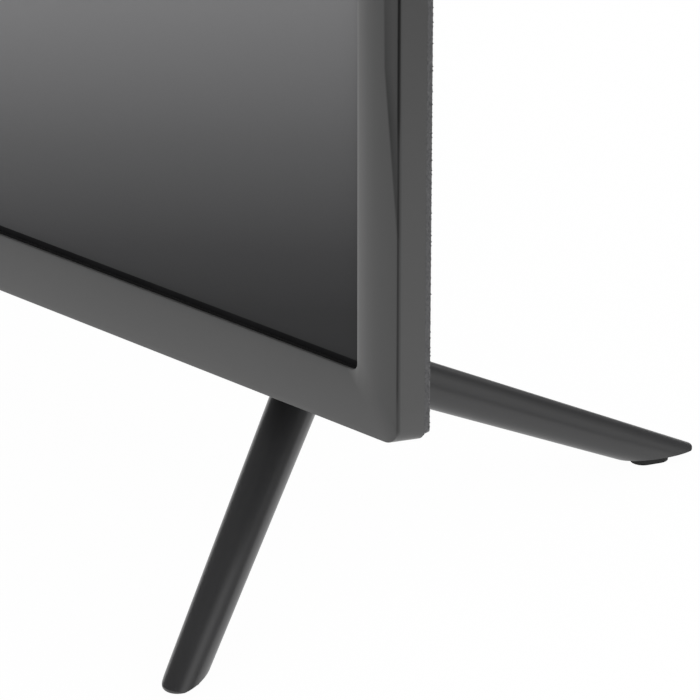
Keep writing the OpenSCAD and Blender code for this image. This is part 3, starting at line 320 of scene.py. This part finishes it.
border, shader, spot = finish("black printed border", {"Specular IOR Level": 0.03})
feed(shader,
     Base_Color=ramp(noise(spot, BORDER_DRIFT), (0.3, tone("1d1d1e")), (0.7, tone("222223"))),
     Roughness=BORDER_ROUGH + noise(spot, BORDER_GRAIN) * 0.1)

panel = piece("panel_glass", mesh, "set", [picture, border])
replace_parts(panel, "lcd_panel")

# The gasket is a strip of black foam, cut to a frame, between the bezel's lip and the glass. It keeps
# dust out and shows as a dark ledge below the picture.
FOAM_CELL = 0.5 * MM
FOAM_DEPTH = 0.1 * MM
FOAM_ROUGH = 0.85


def dress(material, *names):
    """Gives CAD nodes a finish."""
    for name in names:
        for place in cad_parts[name].material_slots:
            place.material = material


foam, shader, spot = finish("black foam", {"Specular IOR Level": 0.05})
cells = spot.node("ShaderNodeTexVoronoi", {}, {"Vector": spot, "Scale": 1 / FOAM_CELL})
feed(shader,
     Base_Color=ramp(cells, (0.1, tone("1e1e1e")), (0.9, tone("282828"))),
     Roughness=FOAM_ROUGH + cells * 0.1,
     Normal=bump(cells, FOAM_DEPTH, 0.4))
dress(foam, "panel_gasket")

# The front bezel is one moulding of grey satin plastic. Its face rolls in softly to the opening, its
# outer edge is crisp, and its side wall spreads a little towards the rear cover.
SIDE_BAR = 15.5 * MM
LOWER_BAR = 18.5 * MM
BEZEL_CORNER = 5.0 * MM
REAR_CORNER = 3.5 * MM
BEZEL_STEPS = 10
BEZEL_FLARE = 2.0 * MM
LOW_FLARE = 0.6 * MM
OPENING_CORNER = 2.2 * MM
LIP = 0.9 * MM
FRONT_WALL = 2.0 * MM
SIDE_WALL = 2.0 * MM
POCKET = 3.9 * MM
EDGE = 0.4 * MM
EDGE_STEPS = 4
REAR_EDGE = 0.2 * MM
LOFT = 50 * MM
BEZEL_SMOOTH = 32.0
# The face's roll outwards from the opening, and its crown inwards from the edge: millimetres that way,
# and how far the face lies back there.
ROLL = ((0.0, 0.36), (0.1, 0.2), (0.4, 0.12), (1.2, 0.08), (2.6, 0.045), (4.6, 0.015), (7.0, 0.0))
CROWN = ((6.0, 0.0), (4.0, 0.012), (2.4, 0.035), (1.2, 0.06))
CROWN_DROP = 0.08 * MM
# The bars are slightly barrelled, and their colour carries painted shading: a painted highlight at the
# side bars' lip that fades towards the edge, painted light that brightens the lower bar towards its
# edge, a painted dark line of shade along that edge, and painted shade that deepens up the side wall.
# A stop is a distance from the opening in millimetres, or on the side wall a height, and the share of
# the grey there.
SATIN = 0.0774
PLASTIC_DRIFT = 70 * MM
SATIN_GRAIN = 0.25 * MM
SATIN_DEPTH = 0.006 * MM
SATIN_ROUGH = 0.29
SIDE_PAINTED_SHADING = ((0.0, 2.5), (0.6, 2.05), (1.0, 1.8), (4.0, 1.26), (6.5, 1.03), (9.0, 0.92), (15.3, 0.83))
LOWER_PAINTED_SHADING = ((0.0, 0.92), (2.7, 1.0), (10.7, 1.13), (16.5, 1.25), (18.2, 1.5), (19.0, 0.6))
SIDE_WALL_PAINTED_SHADE = ((57.0, 1.12), (68.0, 0.97), (195.0, 0.78))
TONE_TOP = 2.5
MITRE = 5.0 * MM
FACE_DEEP = 0.5 * MM
WALL_DEEP = 1.4 * MM
# A painted dark reflection, wedge-shaped, widens up the side bars: by height in millimetres, the
# centimetres from the opening at which it starts, and its depth of tone, some of which comes back
# further out.
WEDGE_START = ((119.0, 1.53), (168.0, 1.03), (190.0, 1.0))
WEDGE_DEPTH = ((119.0, 0.66), (154.0, 0.82), (168.0, 0.66), (190.0, 0.52))
WEDGE_UNIT = 10 * MM
WEDGE_SOFT = 0.35 * MM
WEDGE_TURN = 0.6 * MM
WEDGE_END = 3.2 * MM
WEDGE_RETURN = 0.45
# Along the side bars' outer edge runs a painted dark reflection, a line of painted shade that fades
# towards the set's lower corners: by height in millimetres, its tone, and its half width in millimetres.
PAINTED_LINE_TONE = ((66.0, 1.0), (75.0, 0.45), (145.0, 0.42), (154.0, 0.05))
PAINTED_LINE_WIDE = ((140.0, 0.31), (156.0, 0.51))
PAINTED_LINE_SOFT = 0.1
PAINTED_LINE_IN = 0.1 * MM
PAINTED_LINE_DEEP = 0.25 * MM


def rounded_loop(mesh, low, high, depth, radius, steps):
    """A closed upright loop of edges: a rectangle with round corners, at the given depth."""
    before = set(mesh.edges)
    corners = [mesh.verts.new((x, depth, z)) for x, z in
               ((low.x, low.z), (high.x, low.z), (high.x, high.z), (low.x, high.z))]
    mesh.faces.new(corners)
    bmesh.ops.bevel(mesh, geom=corners, offset=radius, offset_type="OFFSET", affect="VERTICES",
                    segments=steps, profile=0.5, material=-1)
    made = [e for e in mesh.edges if e not in before]
    flat = {f for e in made for f in e.link_faces}
    bmesh.ops.delete(mesh, geom=list(flat), context="FACES_ONLY")
    return made


def spread(corner_low, corner_high, by):
    """Two corners of an upright rectangle, moved apart by the given distance."""
    step = Vector((by, 0.0, by))
    return corner_low - step, corner_high + step


low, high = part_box("front_bezel")
face_low = Vector((low.x + BEZEL_FLARE, low.y, low.z + BEZEL_FLARE))
face_high = Vector((high.x - BEZEL_FLARE, low.y, high.z - BEZEL_FLARE))
opening = face_low + Vector((SIDE_BAR, 0.0, LOWER_BAR)), face_high - Vector((SIDE_BAR, 0.0, SIDE_BAR))
rear_low = low + Vector((0.0, 0.0, BEZEL_FLARE - LOW_FLARE))
bezel_depth = high.y - low.y

stations = []
for out, drop in ROLL:
    stations.append((spread(*opening, out * MM), drop * MM, OPENING_CORNER + out * MM))
for inner, drop in CROWN:
    stations.append((spread(face_low, face_high, -inner * MM), drop * MM, BEZEL_CORNER - inner * MM / 2))
for k in range(EDGE_STEPS + 1):
    angle = math.radians(90 * k / EDGE_STEPS)
    back_in = EDGE * (1 - math.sin(angle))
    stations.append((spread(face_low, face_high, -back_in), CROWN_DROP + EDGE * (1 - math.cos(angle)),
                     BEZEL_CORNER - back_in))
for inner, depth in ((0.0, bezel_depth - REAR_EDGE), (REAR_EDGE, bezel_depth), (SIDE_WALL, bezel_depth)):
    stations.append((spread(rear_low, high, -inner), depth, REAR_CORNER - inner))
stations.append((spread(face_low, face_high, -SIDE_WALL), FRONT_WALL, BEZEL_CORNER - SIDE_WALL))
for out, depth in ((POCKET, FRONT_WALL), (POCKET, LIP), (0.0, LIP)):
    stations.append((spread(*opening, out), depth, OPENING_CORNER))

# The loops are lofted well apart, then pushed to their depths.
mesh = bmesh.new()
loops = [rounded_loop(mesh, *corners, k * LOFT, radius, BEZEL_STEPS)
         for k, (corners, depth, radius) in enumerate(stations)]
for first, second in zip(loops, loops[1:] + loops[:1]):
    bmesh.ops.bridge_loops(mesh, edges=first + second)
for loop, (corners, depth, radius) in zip(loops, stations):
    for vertex in {v for e in loop for v in e.verts}:
        vertex.co.y = low.y + depth
bmesh.ops.recalc_face_normals(mesh, faces=mesh.faces)


def profile(shade, stops):
    """A value up to TONE_TOP that runs straight between stops of place in millimetres and value."""
    first = stops[0][0]
    length = stops[-1][0] - first
    greys = [((at - first) / length, (*[value / TONE_TOP] * 3, 1.0)) for at, value in stops]
    return TONE_TOP * ramp((shade / MM - first) / length, *greys)


def within(shade, start, end):
    """0 before the start, 1 past the end, and a straight run between them."""
    return shade.node("ShaderNodeMapRange", {}, {"Value": shade, "From Min": start, "From Max": end})


def blend(share, first, second):
    """The first where the share is 0, and the second where it is 1."""
    return first + share * (second - first)


satin, shader, spot = finish("grey satin plastic", {"Specular IOR Level": 0.35})
across = spot.node("ShaderNodeSeparateXYZ", {}, {0: spot})
deep = across.sibling("Y") - low.y
height = across.sibling("Z")
beside = spot.maths("ABSOLUTE", across, 0.0) - opening[1].x
beyond = spot.maths("MAXIMUM", opening[0].z - height, height - opening[1].z)
upright = within(beside * (LOWER_BAR / SIDE_BAR) - beyond, -MITRE, MITRE)
front = within(deep, WALL_DEEP, FACE_DEEP)

# The painted dark reflection: a wedge of painted shade on the side bars' face.
past = beside - profile(height, WEDGE_START) * WEDGE_UNIT
dark = within(past, -WEDGE_SOFT, WEDGE_SOFT) * (1 - within(past, WEDGE_TURN, WEDGE_END) * WEDGE_RETURN)
painted_wedge_shade = dark * profile(height, WEDGE_DEPTH) * upright * front

# The painted dark reflection along the side bars' outer edge, a line of painted shade.
aside = beside - (SIDE_BAR - PAINTED_LINE_IN)
behind = deep - PAINTED_LINE_DEEP
off_edge = spot.maths("POWER", aside * aside + behind * behind, 0.5)
painted_line_shade = within(off_edge / MM - profile(height, PAINTED_LINE_WIDE), PAINTED_LINE_SOFT, -PAINTED_LINE_SOFT) * upright

# The base colour carries the painted shading: highlight, light and shade, the wedge and the edge line.
painted_shading = blend(upright, profile(beyond, LOWER_PAINTED_SHADING), profile(beside, SIDE_PAINTED_SHADING))
painted_shading = blend(front, profile(height, SIDE_WALL_PAINTED_SHADE), painted_shading) * (1 - painted_wedge_shade)
painted_shading = painted_shading * blend(painted_line_shade, 1.0, profile(height, PAINTED_LINE_TONE))
drift = noise(spot, PLASTIC_DRIFT, 3.0)
pits = noise(spot, SATIN_GRAIN, 3.0, 0.6)
feed(shader,
     Base_Color=painted_shading * (0.9 + drift * 0.12 + pits * 0.08) * SATIN,
     Roughness=SATIN_ROUGH + drift * 0.05 + pits * 0.05,
     Normal=bump(pits, SATIN_DEPTH, 0.5))
bezel = piece("bezel_frame", mesh, "set", [satin], BEZEL_SMOOTH)
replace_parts(bezel, "front_bezel")

# Behind the glass lie the white middle frame, the optical sheets and the diffuser plate, moulded and cut
# from white and milky plastics, then the reflector with the diffuser's posts, and the clear lenses that
# are glued over the leds.
EDGE_SAMPLES = 6


def moulded(name, dark, light, rough, grain, depth, fixed=None, edge=0.0):
    """Moulded plastic: an etched grain of the given size, and colour and gloss that drift a little."""
    material, shader, spot = finish(name, fixed)
    drift = noise(spot, PLASTIC_DRIFT, 3.0)
    pits = noise(spot, grain, 3.0, 0.6)
    under = spot.node("ShaderNodeBevel", {"samples": EDGE_SAMPLES}, {"Radius": edge}) if edge else None
    feed(shader,
         Base_Color=ramp(drift * 0.6 + pits * 0.4, (0.3, tone(dark)), (0.7, tone(light))),
         Roughness=rough - 0.05 + drift * 0.05 + pits * 0.05,
         Normal=bump(pits, depth, 0.5, under))
    return material


white = moulded("white plastic", dark="d8d8d2", light="e6e6e1", rough=0.5, grain=0.4 * MM, depth=0.01 * MM)
dress(white, "middle_frame", "reflector_sheet", "diffuser_supports")
sheet = moulded("milky sheet", dark="dfe3e8", light="f0f3f6", rough=0.35, grain=0.2 * MM, depth=0.004 * MM)
dress(sheet, "prism_sheet", "diffusion_sheet", "diffuser_plate")
clear = moulded("clear lens plastic", dark="dfe4e8", light="eef2f4", rough=0.12, grain=1.5 * MM,
                depth=0.002 * MM, fixed={"Transmission Weight": 0.7})
dress(clear, "led_lenses")

# The backlight tray is pressed from galvanised steel sheet, with the zinc's faint crystals; the stand
# brackets and panel clips are pressed from the same sheet. The led bars are lacquered aluminium boards.
METAL_DEPTH = 0.01 * MM


def metal(name, dark, light, rough, grain, stretch=(1.0, 1.0, 1.0)):
    """Bare metal: crystals or brushing in tone and gloss."""
    material, shader, spot = finish(name, {"Metallic": 1.0})
    drawn = spot.node("ShaderNodeMapping", {}, {"Vector": spot, "Scale": stretch})
    crystals = drawn.node("ShaderNodeTexVoronoi", {}, {"Vector": drawn, "Scale": 1 / grain})
    wear = noise(drawn, grain * 0.3, 4.0)
    feed(shader,
         Base_Color=ramp(crystals * 0.5 + wear * 0.5, (0.25, tone(dark)), (0.75, tone(light))),
         Roughness=rough - 0.06 + wear * 0.12,
         Normal=bump(wear, METAL_DEPTH, 0.3))
    return material


steel = metal("galvanised steel", dark="9a9da0", light="b8bbbd", rough=0.38, grain=6 * MM)
dress(steel, "backlight_tray", "left_leg_bracket", "right_leg_bracket", "panel_clips")
bar = moulded("white lacquered board", dark="dfe0de", light="eceded", rough=0.4, grain=0.3 * MM,
              depth=0.004 * MM)
dress(bar, "led_bars")

# The circuit boards are glass fibre under solder lacquer, with copper runs that show through it; the
# power board is plain brown. Films, flat cables and leads join them to each other and to the panel.
RUN_SCALE = 60.0
RUN_WIDTH = 0.03
PAD_PITCH = 4 * MM
PAD_REACH = 0.16
PAD_DEPTH = 0.02 * MM
TINNED_PAD = "b9b7a8"
BOARD_TURN = (math.radians(90), 0.0, 0.0)


def circuit(name, ground, run, rough):
    """A lacquered board: fine runs at right angles, with tinned pads."""
    material, shader, spot = finish(name)
    turned = spot.node("ShaderNodeMapping", {}, {"Vector": spot, "Rotation": BOARD_TURN})
    lines = spot.node("ShaderNodeTexBrick", {"offset": 0.37, "squash": 0.6, "squash_frequency": 3},
                      {"Vector": turned, "Scale": RUN_SCALE, "Mortar Size": RUN_WIDTH,
                       "Color1": tone(ground), "Color2": tone(ground), "Mortar": tone(run)})
    dots = spot.node("ShaderNodeTexVoronoi", {}, {"Vector": spot, "Scale": 1 / PAD_PITCH})
    pads = spot.maths("LESS_THAN", dots, PAD_REACH)
    colour = spot.node("ShaderNodeMix", {"data_type": "RGBA"}, {0: pads, 6: lines, 7: tone(TINNED_PAD)}, 2)
    feed(shader, Base_Color=colour, Roughness=rough + pads * 0.1, Metallic=pads * 0.8,
         Normal=bump(dots, PAD_DEPTH, 0.3))
    return material


green = circuit("green board lacquer", ground="1d5636", run="2a6d46", rough=0.34)
dress(green, "source_board", "ir_board", "main_board", "key_board")
brown = circuit("brown board", ground="5b4428", run="6b5230", rough=0.45)
dress(brown, "power_board")
film = moulded("amber film", dark="8a4d18", light="a3601f", rough=0.25, grain=0.6 * MM, depth=0.003 * MM)
dress(film, "source_films")
pale = moulded("pale flat cable", dark="c8c8c2", light="dadad4", rough=0.45, grain=0.8 * MM, depth=0.02 * MM)
dress(pale, "panel_cable", "speaker_leads", "key_lead")
red = moulded("red lead", dark="7c1f1c", light="922823", rough=0.4, grain=0.8 * MM, depth=0.02 * MM)
dress(red, "power_lead", "backlight_lead")

# On the boards sit the extruded heat sink, the tinned tuner can and sockets, the power parts and the key
# switches, soldered or clipped on as bought in. The speakers are black boxes with paper cones, and the
# wall mount's inserts are tinned too.
fins = metal("extruded aluminium", dark="a9acb0", light="c2c5c8", rough=0.32, grain=2 * MM,
             stretch=(1.0, 1.0, 0.05))
dress(fins, "chip_heatsink")
tinned = metal("tinned sheet", dark="8f9294", light="b0b2b4", rough=0.3, grain=3 * MM)
dress(tinned, "antenna_tuner", "hdmi_sockets", "usb_sockets", "vesa_inserts")
black = moulded("black plastic", dark="131314", light="1b1b1c", rough=0.45, grain=0.3 * MM, depth=0.01 * MM,
                edge=0.25 * MM)
dress(black, "headphone_jack", "mains_inlet", "power_capacitors", "key_switches",
      "left_speaker_box", "right_speaker_box")
yellow = moulded("yellow plastic", dark="b58a12", light="c99a1a", rough=0.4, grain=0.3 * MM, depth=0.01 * MM)
dress(yellow, "video_jack", "power_transformer")
cone = moulded("black paper cone", dark="161616", light="222222", rough=0.8, grain=0.5 * MM, depth=0.05 * MM)
dress(cone, "speaker_drivers")

# The remote receiver looks out through a small window of smoked plastic. It is moulded with shoulders
# that hold it inside the bezel's lower wall, and its tip hangs out under the bezel's middle.
smoked = moulded("smoked plastic", dark="1c0c0e", light="251113", rough=0.1, grain=2 * MM, depth=0.002 * MM,
                 fixed={"Coat Weight": 0.4, "Coat Roughness": 0.05})
dress(smoked, "ir_lens")

# The rear cover is the largest moulding: one shell of dark plastic with an etched leather grain that
# hides scratches, drawn over the boards, with slots for air, sound, sockets, keys and screws.
HIDE_SIZE = 1.6 * MM
HIDE_DEPTH = 0.14 * MM
PORE_SIZE = 0.4 * MM
COVER_DRIFT = 90 * MM
COVER_ROUGH = 0.5
COVER_EDGE = 0.7 * MM

cover, shader, spot = finish("grained cover plastic", {"Specular IOR Level": 0.4})
hide = spot.node("ShaderNodeTexVoronoi", {"feature": "SMOOTH_F1"},
                 {"Vector": spot, "Scale": 1 / HIDE_SIZE, "Smoothness": 0.6})
pores = noise(spot, PORE_SIZE, 2.0)
drift = noise(spot, COVER_DRIFT, 3.0)
eased = spot.node("ShaderNodeBevel", {"samples": EDGE_SAMPLES}, {"Radius": COVER_EDGE})
feed(shader,
     Base_Color=ramp(hide * 0.5 + drift * 0.5, (0.2, tone("4c4c4e")), (0.8, tone("5c5c5d"))),
     Roughness=COVER_ROUGH + pores * 0.08 + drift * 0.05,
     Normal=bump(hide + pores * 0.3, HIDE_DEPTH, 0.7, eased))
dress(cover, "rear_cover")

# The grain is coarse enough to show on the set's outline, so on the rim that the cover presses against
# the bezel it stands in relief: a skin of the same plastic, rooted in the rim all the way round.
RIM_DEPTH = 3.0 * MM
RIM_CORNER = 6.0 * MM
RIM_STEPS = 28
RELIEF = 0.58 * MM
RELIEF_SIZE = 0.6 * MM
RELIEF_STEP = 0.33 * MM
RELIEF_ROWS = 7
RELIEF_ROOT = 0.5 * MM
ALL_SMOOTH = 180.0

low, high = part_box("rear_cover")
mesh = bmesh.new()
outline = rounded_loop(mesh, low, high, low.y, RIM_CORNER, RIM_STEPS)
for edge in [e for e in outline if e.calc_length() > RIM_CORNER]:
    bmesh.ops.subdivide_edges(mesh, edges=[edge], cuts=round(edge.calc_length() / RELIEF_STEP))
root = mesh.edges[:]
last = root
for row in range(RELIEF_ROWS):
    drawn = bmesh.ops.extrude_edge_only(mesh, edges=last)["geom"]
    bmesh.ops.translate(mesh, vec=(0.0, RIM_DEPTH / RELIEF_ROWS, 0.0),
                        verts=[v for v in drawn if isinstance(v, bmesh.types.BMVert)])
    last = [e for e in drawn if isinstance(e, bmesh.types.BMEdge) and len(e.link_faces) == 1]
mesh.normal_update()
middle = Vector((0.0, 0.0, (low.z + high.z) / 2))
rooted = {v for e in root + last for v in e.verts}
for vertex in mesh.verts:
    out = vertex.normal * math.copysign(1.0, vertex.normal.dot(vertex.co - middle))
    rise = -RELIEF_ROOT if vertex in rooted else RELIEF * mathutils.noise.noise(vertex.co / RELIEF_SIZE)
    vertex.co += Vector((out.x, 0.0, out.z)).normalized() * rise
bmesh.ops.bridge_loops(mesh, edges=root + last)
bmesh.ops.recalc_face_normals(mesh, faces=mesh.faces)
piece("cover_rim_grain", mesh, "set", [cover], ALL_SMOOTH)

# Seven keys stand in a row on the cover's back: small round caps moulded in darker plastic, held by
# flanges behind the cover, that slide in to press the switches.
keycap = moulded("key plastic", dark="242425", light="2c2c2d", rough=0.36, grain=0.3 * MM, depth=0.006 * MM,
                 edge=0.3 * MM)
dress(keycap, "power_key", "source_key", "menu_key", "volume_up_key", "volume_down_key",
      "channel_up_key", "channel_down_key")

# The screws are steel with rolled threads, blackened. Screws of one small thickness hold the cover, the
# boards and the panel clips, and thicker ones the stands.
blackened = metal("blackened screw", dark="2a2a2c", light="3d3d40", rough=0.4, grain=1.2 * MM)
dress(blackened, "cover_screws", "board_screws", "clip_screws", "leg_screws")

# Each stand is a pair of tapered legs in dark matt lacquer, mitred together under a head plate that is
# screwed to the set from below. A leg is cut level with the floor, and its tip and rims are rounded.
PLATE_WIDE = 56.0 * MM
PLATE_DEEP = 26.0 * MM
PLATE_THICK = 4.0 * MM
PLATE_EDGE = 0.6 * MM
PLATE_STEPS = 3
SCREWS_IN = (10.0 * MM, 30.0 * MM)
SCREW_SINK = 2.2 * MM
SCREW_SINK_RADIUS = 4.05 * MM
SCREW_SIDES = 40
APEX_IN = 46.0 * MM
APEX_DROP = 8.0 * MM
APEX_RADIUS = 7.6 * MM
FOOT_OUT = 49.0 * MM
FOOT_FORTH = 102.0 * MM
FOOT_RADIUS = 5.6 * MM
LEG_OVER = 20 * MM
LEG_SIDES = 160
LEG_RINGS = (0.22, 0.82, 0.84)
TIP_REACH = 11.48 * MM
TIP_LONG = 7.0 * MM
TIP_WIDE = 5.2 * MM
TIP_ASIDE = 0.45 * MM
TIP_CUTS = 31
TIP_SWING = math.radians(78)
ROUND = 0.4 * MM
ROUND_STEPS = 4
ROUND_FROM = math.radians(20)
CUT_CLOSE = 1e-7
MIRROR_CLOSE = 1e-6
LEG_SMOOTH = 30.0


def whole(mesh):
    """All of a mesh's parts, for an operator that takes any of them."""
    return mesh.verts[:] + mesh.edges[:] + mesh.faces[:]


def slice_off(mesh, point, normal, fill):
    """Cuts away what lies past a plane, and closes the cut where asked."""
    cut = bmesh.ops.bisect_plane(mesh, geom=whole(mesh), dist=CUT_CLOSE, plane_co=point, plane_no=normal,
                                 clear_outer=True)
    edges = [e for e in cut["geom_cut"] if isinstance(e, bmesh.types.BMEdge)]
    if fill and edges:
        bmesh.ops.edgeloop_fill(mesh, edges=edges)


def raised(mesh, edges, height):
    """Draws an upright wall from closed edges and closes it at the top."""
    drawn = bmesh.ops.extrude_edge_only(mesh, edges=edges)["geom"]
    bmesh.ops.translate(mesh, vec=(0.0, 0.0, height),
                        verts=[v for v in drawn if isinstance(v, bmesh.types.BMVert)])
    bmesh.ops.edgeloop_fill(mesh, edges=[e for e in drawn if isinstance(e, bmesh.types.BMEdge)
                                         and len(e.link_faces) == 1])


def head_plate(mesh, low, high):
    """The plate between two corners, with a sunk round seat in its underside for each screw."""
    corners = [mesh.verts.new((x, y, low.z)) for x, y in
               ((low.x, low.y), (high.x, low.y), (high.x, high.y), (low.x, high.y))]
    outline = [mesh.edges.new((v, w)) for v, w in zip(corners, corners[1:] + corners[:1])]
    seats = []
    for inset in SCREWS_IN:
        made = bmesh.ops.create_circle(mesh, cap_ends=False, segments=SCREW_SIDES, radius=SCREW_SINK_RADIUS,
                                       matrix=Matrix.Translation((low.x + inset, 0.0, low.z)))["verts"]
        seats.append(list({e for v in made for e in v.link_edges}))
    bmesh.ops.triangle_fill(mesh, use_beauty=True, use_dissolve=True, edges=outline + sum(seats, []))
    for seat in seats:
        raised(mesh, seat, SCREW_SINK)
    raised(mesh, outline, high.z - low.z)
    bmesh.ops.bevel(mesh, geom=outline, offset=PLATE_EDGE, offset_type="OFFSET", affect="EDGES",
                    segments=PLATE_STEPS, profile=0.5, material=-1)


low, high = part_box("right_leg")
plate_low = Vector((low.x, -PLATE_DEEP / 2, high.z - PLATE_THICK))
plate_high = Vector((low.x + PLATE_WIDE, PLATE_DEEP / 2, high.z))
apex = Vector((low.x + APEX_IN, 0.0, high.z - APEX_DROP))
foot = Vector((apex.x + FOOT_OUT, -FOOT_FORTH, low.z))
along = foot - apex
lean = Matrix.Translation((apex + foot) / 2) @ along.to_track_quat("Z", "Y").to_matrix().to_4x4()
taper = (APEX_RADIUS - FOOT_RADIUS) / along.length
outward = Vector((along.x, along.y, 0.0)).normalized()
sideways = outward.cross(Vector((0.0, 0.0, 1.0)))
tip = foot + outward * (TIP_REACH - TIP_LONG) - sideways * TIP_ASIDE
lacquer = moulded("dark matt lacquer", dark="272728", light="323233", rough=0.34, grain=0.3 * MM,
                  depth=0.008 * MM, fixed={"Specular IOR Level": 0.72})
for side, stand in ((1, "right"), (-1, "left")):
    mesh = bmesh.new()
    bmesh.ops.create_cone(mesh, cap_ends=True, segments=LEG_SIDES, radius1=APEX_RADIUS + taper * LEG_OVER,
                          radius2=FOOT_RADIUS - taper * LEG_OVER, depth=along.length + 2 * LEG_OVER)
    bmesh.ops.transform(mesh, verts=mesh.verts, matrix=lean)
    for ring in LEG_RINGS:
        bmesh.ops.bisect_plane(mesh, geom=whole(mesh), dist=CUT_CLOSE, plane_co=apex + along * ring,
                               plane_no=along)
    slice_off(mesh, foot, (0, 0, -1), True)
    for k in range(TIP_CUTS):
        angle = TIP_SWING * (2 * k / (TIP_CUTS - 1) - 1)
        forth, aside = math.cos(angle), math.sin(angle)
        slice_off(mesh, tip + outward * (TIP_LONG * forth) + sideways * (TIP_WIDE * aside),
                  outward * (forth / TIP_LONG) + sideways * (aside / TIP_WIDE), True)
    slice_off(mesh, (0, 0, 0), (0, 1, 0), False)
    slice_off(mesh, (0, 0, high.z), (0, 0, 1), False)
    rims = [e for e in mesh.edges if len(e.link_faces) == 2 and e.calc_face_angle() > ROUND_FROM]
    bmesh.ops.bevel(mesh, geom=rims, offset=ROUND, offset_type="OFFSET", affect="EDGES",
                    segments=ROUND_STEPS, profile=0.5, material=-1, clamp_overlap=True)
    bmesh.ops.mirror(mesh, geom=whole(mesh), merge_dist=MIRROR_CLOSE, axis="Y")
    bmesh.ops.holes_fill(mesh, edges=[e for e in mesh.edges if e.is_boundary], sides=0)
    head_plate(mesh, plate_low, plate_high)
    if side < 0:
        bmesh.ops.transform(mesh, verts=mesh.verts, matrix=Matrix.Diagonal((-1.0, 1.0, 1.0, 1.0)))
    bmesh.ops.recalc_face_normals(mesh, faces=mesh.faces)
    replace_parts(piece(stand + "_stand", mesh, "set", [lacquer], LEG_SMOOTH), stand + "_leg")

# Each foot stands on an oval pad of black rubber, moulded with a stud that is pushed into the leg from
# below. The rubber is matt, and its edge is soft.
rubber = moulded("black rubber", dark="1c1c1c", light="262626", rough=0.75, grain=0.4 * MM, depth=0.02 * MM,
                 edge=0.3 * MM)
dress(rubber, "left_foot_pads", "right_foot_pads")
